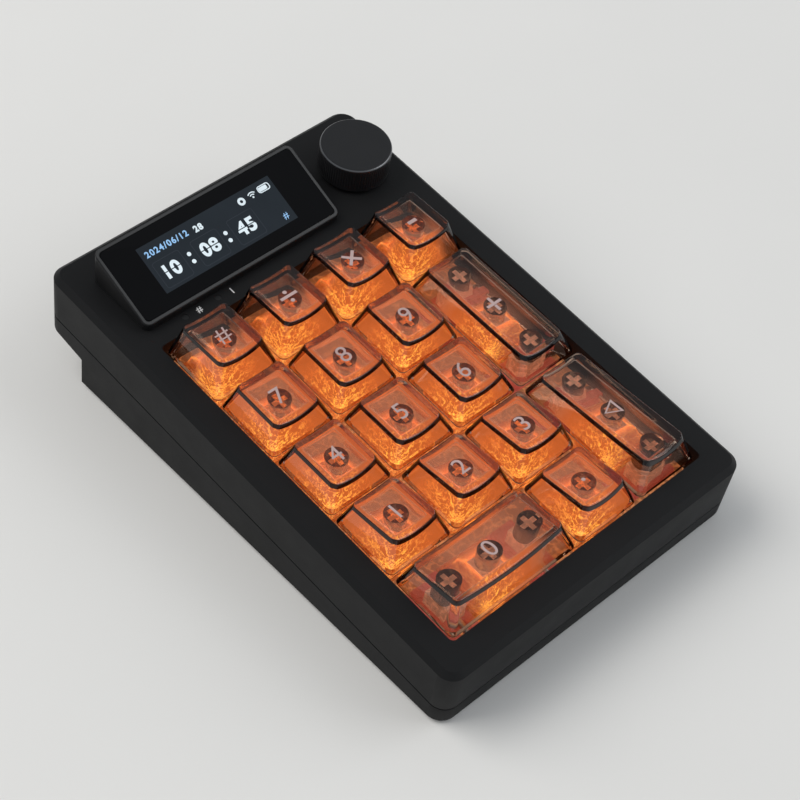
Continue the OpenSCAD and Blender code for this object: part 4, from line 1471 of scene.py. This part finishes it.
    def build(self) -> None:
        """Makes the layers of the display from the field up, and the lighter rim round the glass that paints
        its highlight.
        """
        slate, cards, digits, slits, date, edging = (Skin(self.deck) for _ in range(6))
        self.tile(slate, self.ground, np.zeros(3), Level.FIELD)
        for across, text in self.clock:
            self.tile(cards, self.card, self.spot(across, self.card_down), Level.CARD)
            self.words(digits, text, (across, self.clock_down), self.clock_setting)
            self.tile(slits, self.slit, self.spot(across, self.clock_down), Level.SLIT)
        for across in self.dots_across:
            for down in self.dots_down:
                self.tile(digits, self.dot, self.spot(across, down), Level.SIGN)
        self.words(digits, self.day, self.day_place, self.day_setting)
        self.tile(digits, self.ring, self.spot(*self.ring_place), Level.SIGN)
        self.signal(digits)
        cell = self.spot(*self.cell_place)
        self.tile(digits, self.cell, cell, Level.SIGN)
        self.tile(digits, self.charge, cell + np.array([self.charge_shift, 0.0, 0.0]), Level.SIGN)
        for text, place, setting in self.date_lines:
            self.words(date, text, place, setting)
        self.tile(edging, self.rim, np.array([-self.field_shift, 0.0, 0.0]), Level.FIELD)
        self.dress(slate, "display_field", FIELD)
        self.dress(cards, "display_cards", CARD)
        self.dress(digits, "display_digits", DIGIT)
        self.dress(slits, "display_slits", FIELD)
        self.dress(date, "display_date", DATE)
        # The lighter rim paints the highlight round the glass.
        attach(edging.make("screen_rim_highlight", RIM_HIGHLIGHT.material()), "case")


@dataclass
class Knob:
    """The knob: a turned cap whose side has a fine upright knurl."""

    deck: KeyFrame
    centre_u: float = 32.85
    centre_v: float = 63.525
    radius: float = 8.75
    low: float = 0.9
    high: float = 8.2
    edge: float = 0.6
    edge_rings: int = 6
    foot_edge: float = 0.3
    side_rings: int = 9
    top_shares: tuple = (0.85, 0.5, 0.1)
    ridges: int = 84
    ridge_steps: int = 6
    ridge_depth: float = 0.13
    ridge_low: float = 1.9
    ridge_high: float = 7.1
    ridge_end: float = 0.2
    bevel: Span = (0.45, 1.05)
    bevel_t: float = 0.04
    bevel_rings: int = 5

    @property
    def turns(self) -> Points:
        """The angles of the points round the knob."""
        return np.linspace(0.0, 2 * np.pi, self.ridges * self.ridge_steps, endpoint=False)

    def rings(self, radius: Points, height: Points) -> Points:
        """Rings about the knob's axis, from each point's or each ring's radius and height."""
        r, w, turn = np.broadcast_arrays(radius, height, self.turns)
        return np.stack([self.centre_u + r * np.cos(turn), self.centre_v + r * np.sin(turn), w], axis=-1)

    def paint_edge_highlight(self) -> None:
        """Makes the bright metal band that paints the upper edge's highlight: an arc about the edge's centre,
        and back a little nearer to it.
        """
        swing = np.linspace(*self.bevel, self.bevel_rings)
        arc = np.concatenate([swing, swing[::-1]])
        reach = self.edge + np.repeat([self.bevel_t, -self.bevel_t], len(swing))
        r = self.radius - self.edge + reach * np.cos(arc)
        w = self.high - self.edge + reach * np.sin(arc)
        skin = Skin(self.deck)
        skin.loft(self.rings(r[:, None], w[:, None]), closed=True)
        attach(skin.make("knob_bevel", BEVEL.material()), "knob")

    def build(self) -> None:
        """Makes the knob: rings of radius r less a wave of the angle, faded in and out along the height."""
        low, high = self.ridge_low - self.ridge_end, self.ridge_high + self.ridge_end
        bow = np.linspace(0.0, np.pi / 2, self.edge_rings)
        profile = [(self.radius - self.foot_edge, self.low), (self.radius, self.low + self.foot_edge)]
        profile += [(self.radius, w) for w in np.linspace(low, high, self.side_rings)]
        profile += zip(self.radius - self.edge * (1 - np.cos(bow)), self.high - self.edge * (1 - np.sin(bow)))
        profile += [(self.radius * share, self.high) for share in self.top_shares]
        r, w = np.array(profile).T[:, :, None]
        fade = 2 * self.ridge_end
        gate = np.clip((w - low) / fade, 0, 1) * np.clip((high - w) / fade, 0, 1)
        wave = self.ridge_depth * (0.5 - 0.5 * np.cos(self.turns * self.ridges)) ** 2
        skin = Skin(self.deck)
        skin.solid(self.rings(r - gate * wave, w))
        knob = skin.make("turned_knob", KNOB.material())
        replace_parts(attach(knob, "knob"), "knob")
        self.paint_edge_highlight()


@dataclass
class DeckMarks:
    """Two small plain marks on the deck, beside the indicator lights."""

    deck: KeyFrame
    letters: Lettering
    mark_v: float = 51.2
    marks: tuple = ((-24.7, "#"), (-15.2, "1"))
    setting: Setting = Setting(1.7, 0.01)
    ink: float = 0.02

    def build(self) -> None:
        """Makes the marks as one piece that rides on the case."""
        skin = Skin(self.deck)
        for u, sign in self.marks:
            points, faces = self.letters.outline(sign, self.setting, self.ink)
            skin.add(points + np.array([u, self.mark_v, self.ink]), faces)
        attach(skin.make("deck_marks", MARK.material()), "case")


# Studio


@dataclass(frozen=True)
class SoftBox:
    """A square soft light aimed at the part, its place and its side in metres."""

    name: str
    place: Place
    side: float
    power: float
    color: Color
    mirrored: bool


@dataclass
class Studio:
    """The pale floor, the soft lights and the camera at the photograph's view.

    The camera's eye and angles are in the key frame: heading from v towards u, dip down and roll, in degrees.
    """

    deck: KeyFrame
    image_px: float = 800.0
    focal_px: float = 2035.667
    sensor: float = 36.0
    nearest: float = 0.01
    eye: Place = (-221.463, -167.026, 359.540)
    heading: float = 51.56493
    dip: float = 52.4902
    roll: float = 11.54765
    floor_half: float = 3.0
    world_color: Color = (0.9, 0.95, 1.0)
    world_strength: float = 0.44
    lights: tuple = (
        SoftBox("key_light", (-0.9, 1.0, 1.5), 1.6, 31.0, (1.0, 0.98, 0.95), False),
        SoftBox("fill_light", (1.4, -1.0, 1.2), 1.6, 13.0, (0.95, 0.97, 1.0), True),
    )

    def camera(self) -> None:
        """Places the camera: its axes are the image's right, up and backward directions."""
        heading, dip, roll = np.radians([self.heading, self.dip, self.roll])
        level = np.array([np.cos(heading), -np.sin(heading), 0.0])
        ahead = np.array([np.sin(heading) * np.cos(dip), np.cos(heading) * np.cos(dip), -np.sin(dip)])
        right = level * np.cos(roll) + np.cross(level, ahead) * np.sin(roll)
        pose = np.eye(4)
        pose[:3, :3] = self.deck.turn(np.array([right, np.cross(right, ahead), -ahead])).T
        pose[:3, 3] = self.deck.to_row(np.array(self.eye))
        data = bpy.data.cameras.new("camera")
        data.sensor_width = self.sensor
        data.lens = self.sensor * self.focal_px / self.image_px
        data.clip_start = self.nearest
        camera = put("camera", data)
        camera.matrix_world = Matrix(pose.tolist())
        bpy.context.scene.camera = camera

    def floor(self) -> None:
        """Lays the floor, a pale plane under the feet."""
        half = self.floor_half
        mesh = bpy.data.meshes.new("floor")
        corners = [(-half, -half, 0), (half, -half, 0), (half, half, 0), (-half, half, 0)]
        mesh.from_pydata(corners, [], [(0, 1, 2, 3)])
        mesh.materials.append(PAPER.material())
        put("floor", mesh)

    def light(self) -> None:
        """Sets the world's even light and the soft boxes, each aimed at the part."""
        world = bpy.data.worlds.new("studio")
        world.use_nodes = True
        back = world.node_tree.nodes["Background"]
        back.inputs["Color"].default_value = (*self.world_color, 1.0)
        back.inputs["Strength"].default_value = self.world_strength
        bpy.context.scene.world = world
        for box in self.lights:
            data = bpy.data.lights.new(box.name, "AREA")
            data.energy = box.power
            data.size = box.side
            data.color = box.color
            lamp = put(box.name, data)
            lamp.location = box.place
            lamp.rotation_mode = "QUATERNION"
            lamp.rotation_quaternion = (-Vector(box.place)).to_track_quat("-Z", "Y")
            lamp.visible_glossy = box.mirrored

    def build(self) -> None:
        """Sets the whole studio up."""
        bpy.context.scene.view_settings.view_transform = "Standard"
        self.camera()
        self.floor()
        self.light()


def main() -> None:
    """Loads the frame, dresses it and adds the new pieces in order."""
    logging.basicConfig(level=logging.INFO, format="%(name)s %(message)s")
    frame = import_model()
    deck = KeyFrame.from_joints(frame["joints"], Knob.centre_u, Knob.centre_v)
    Studio(deck).build()
    dress_nodes(frame["nodes"])
    letters = Lettering()
    for key in KEYS:
        Keycap(key, deck, letters).build()
    SwitchTops(deck).build()
    ClockScreen(deck, letters).build()
    Knob(deck).build()
    DeckMarks(deck, letters).build()


if __name__ == "__main__":
    main()
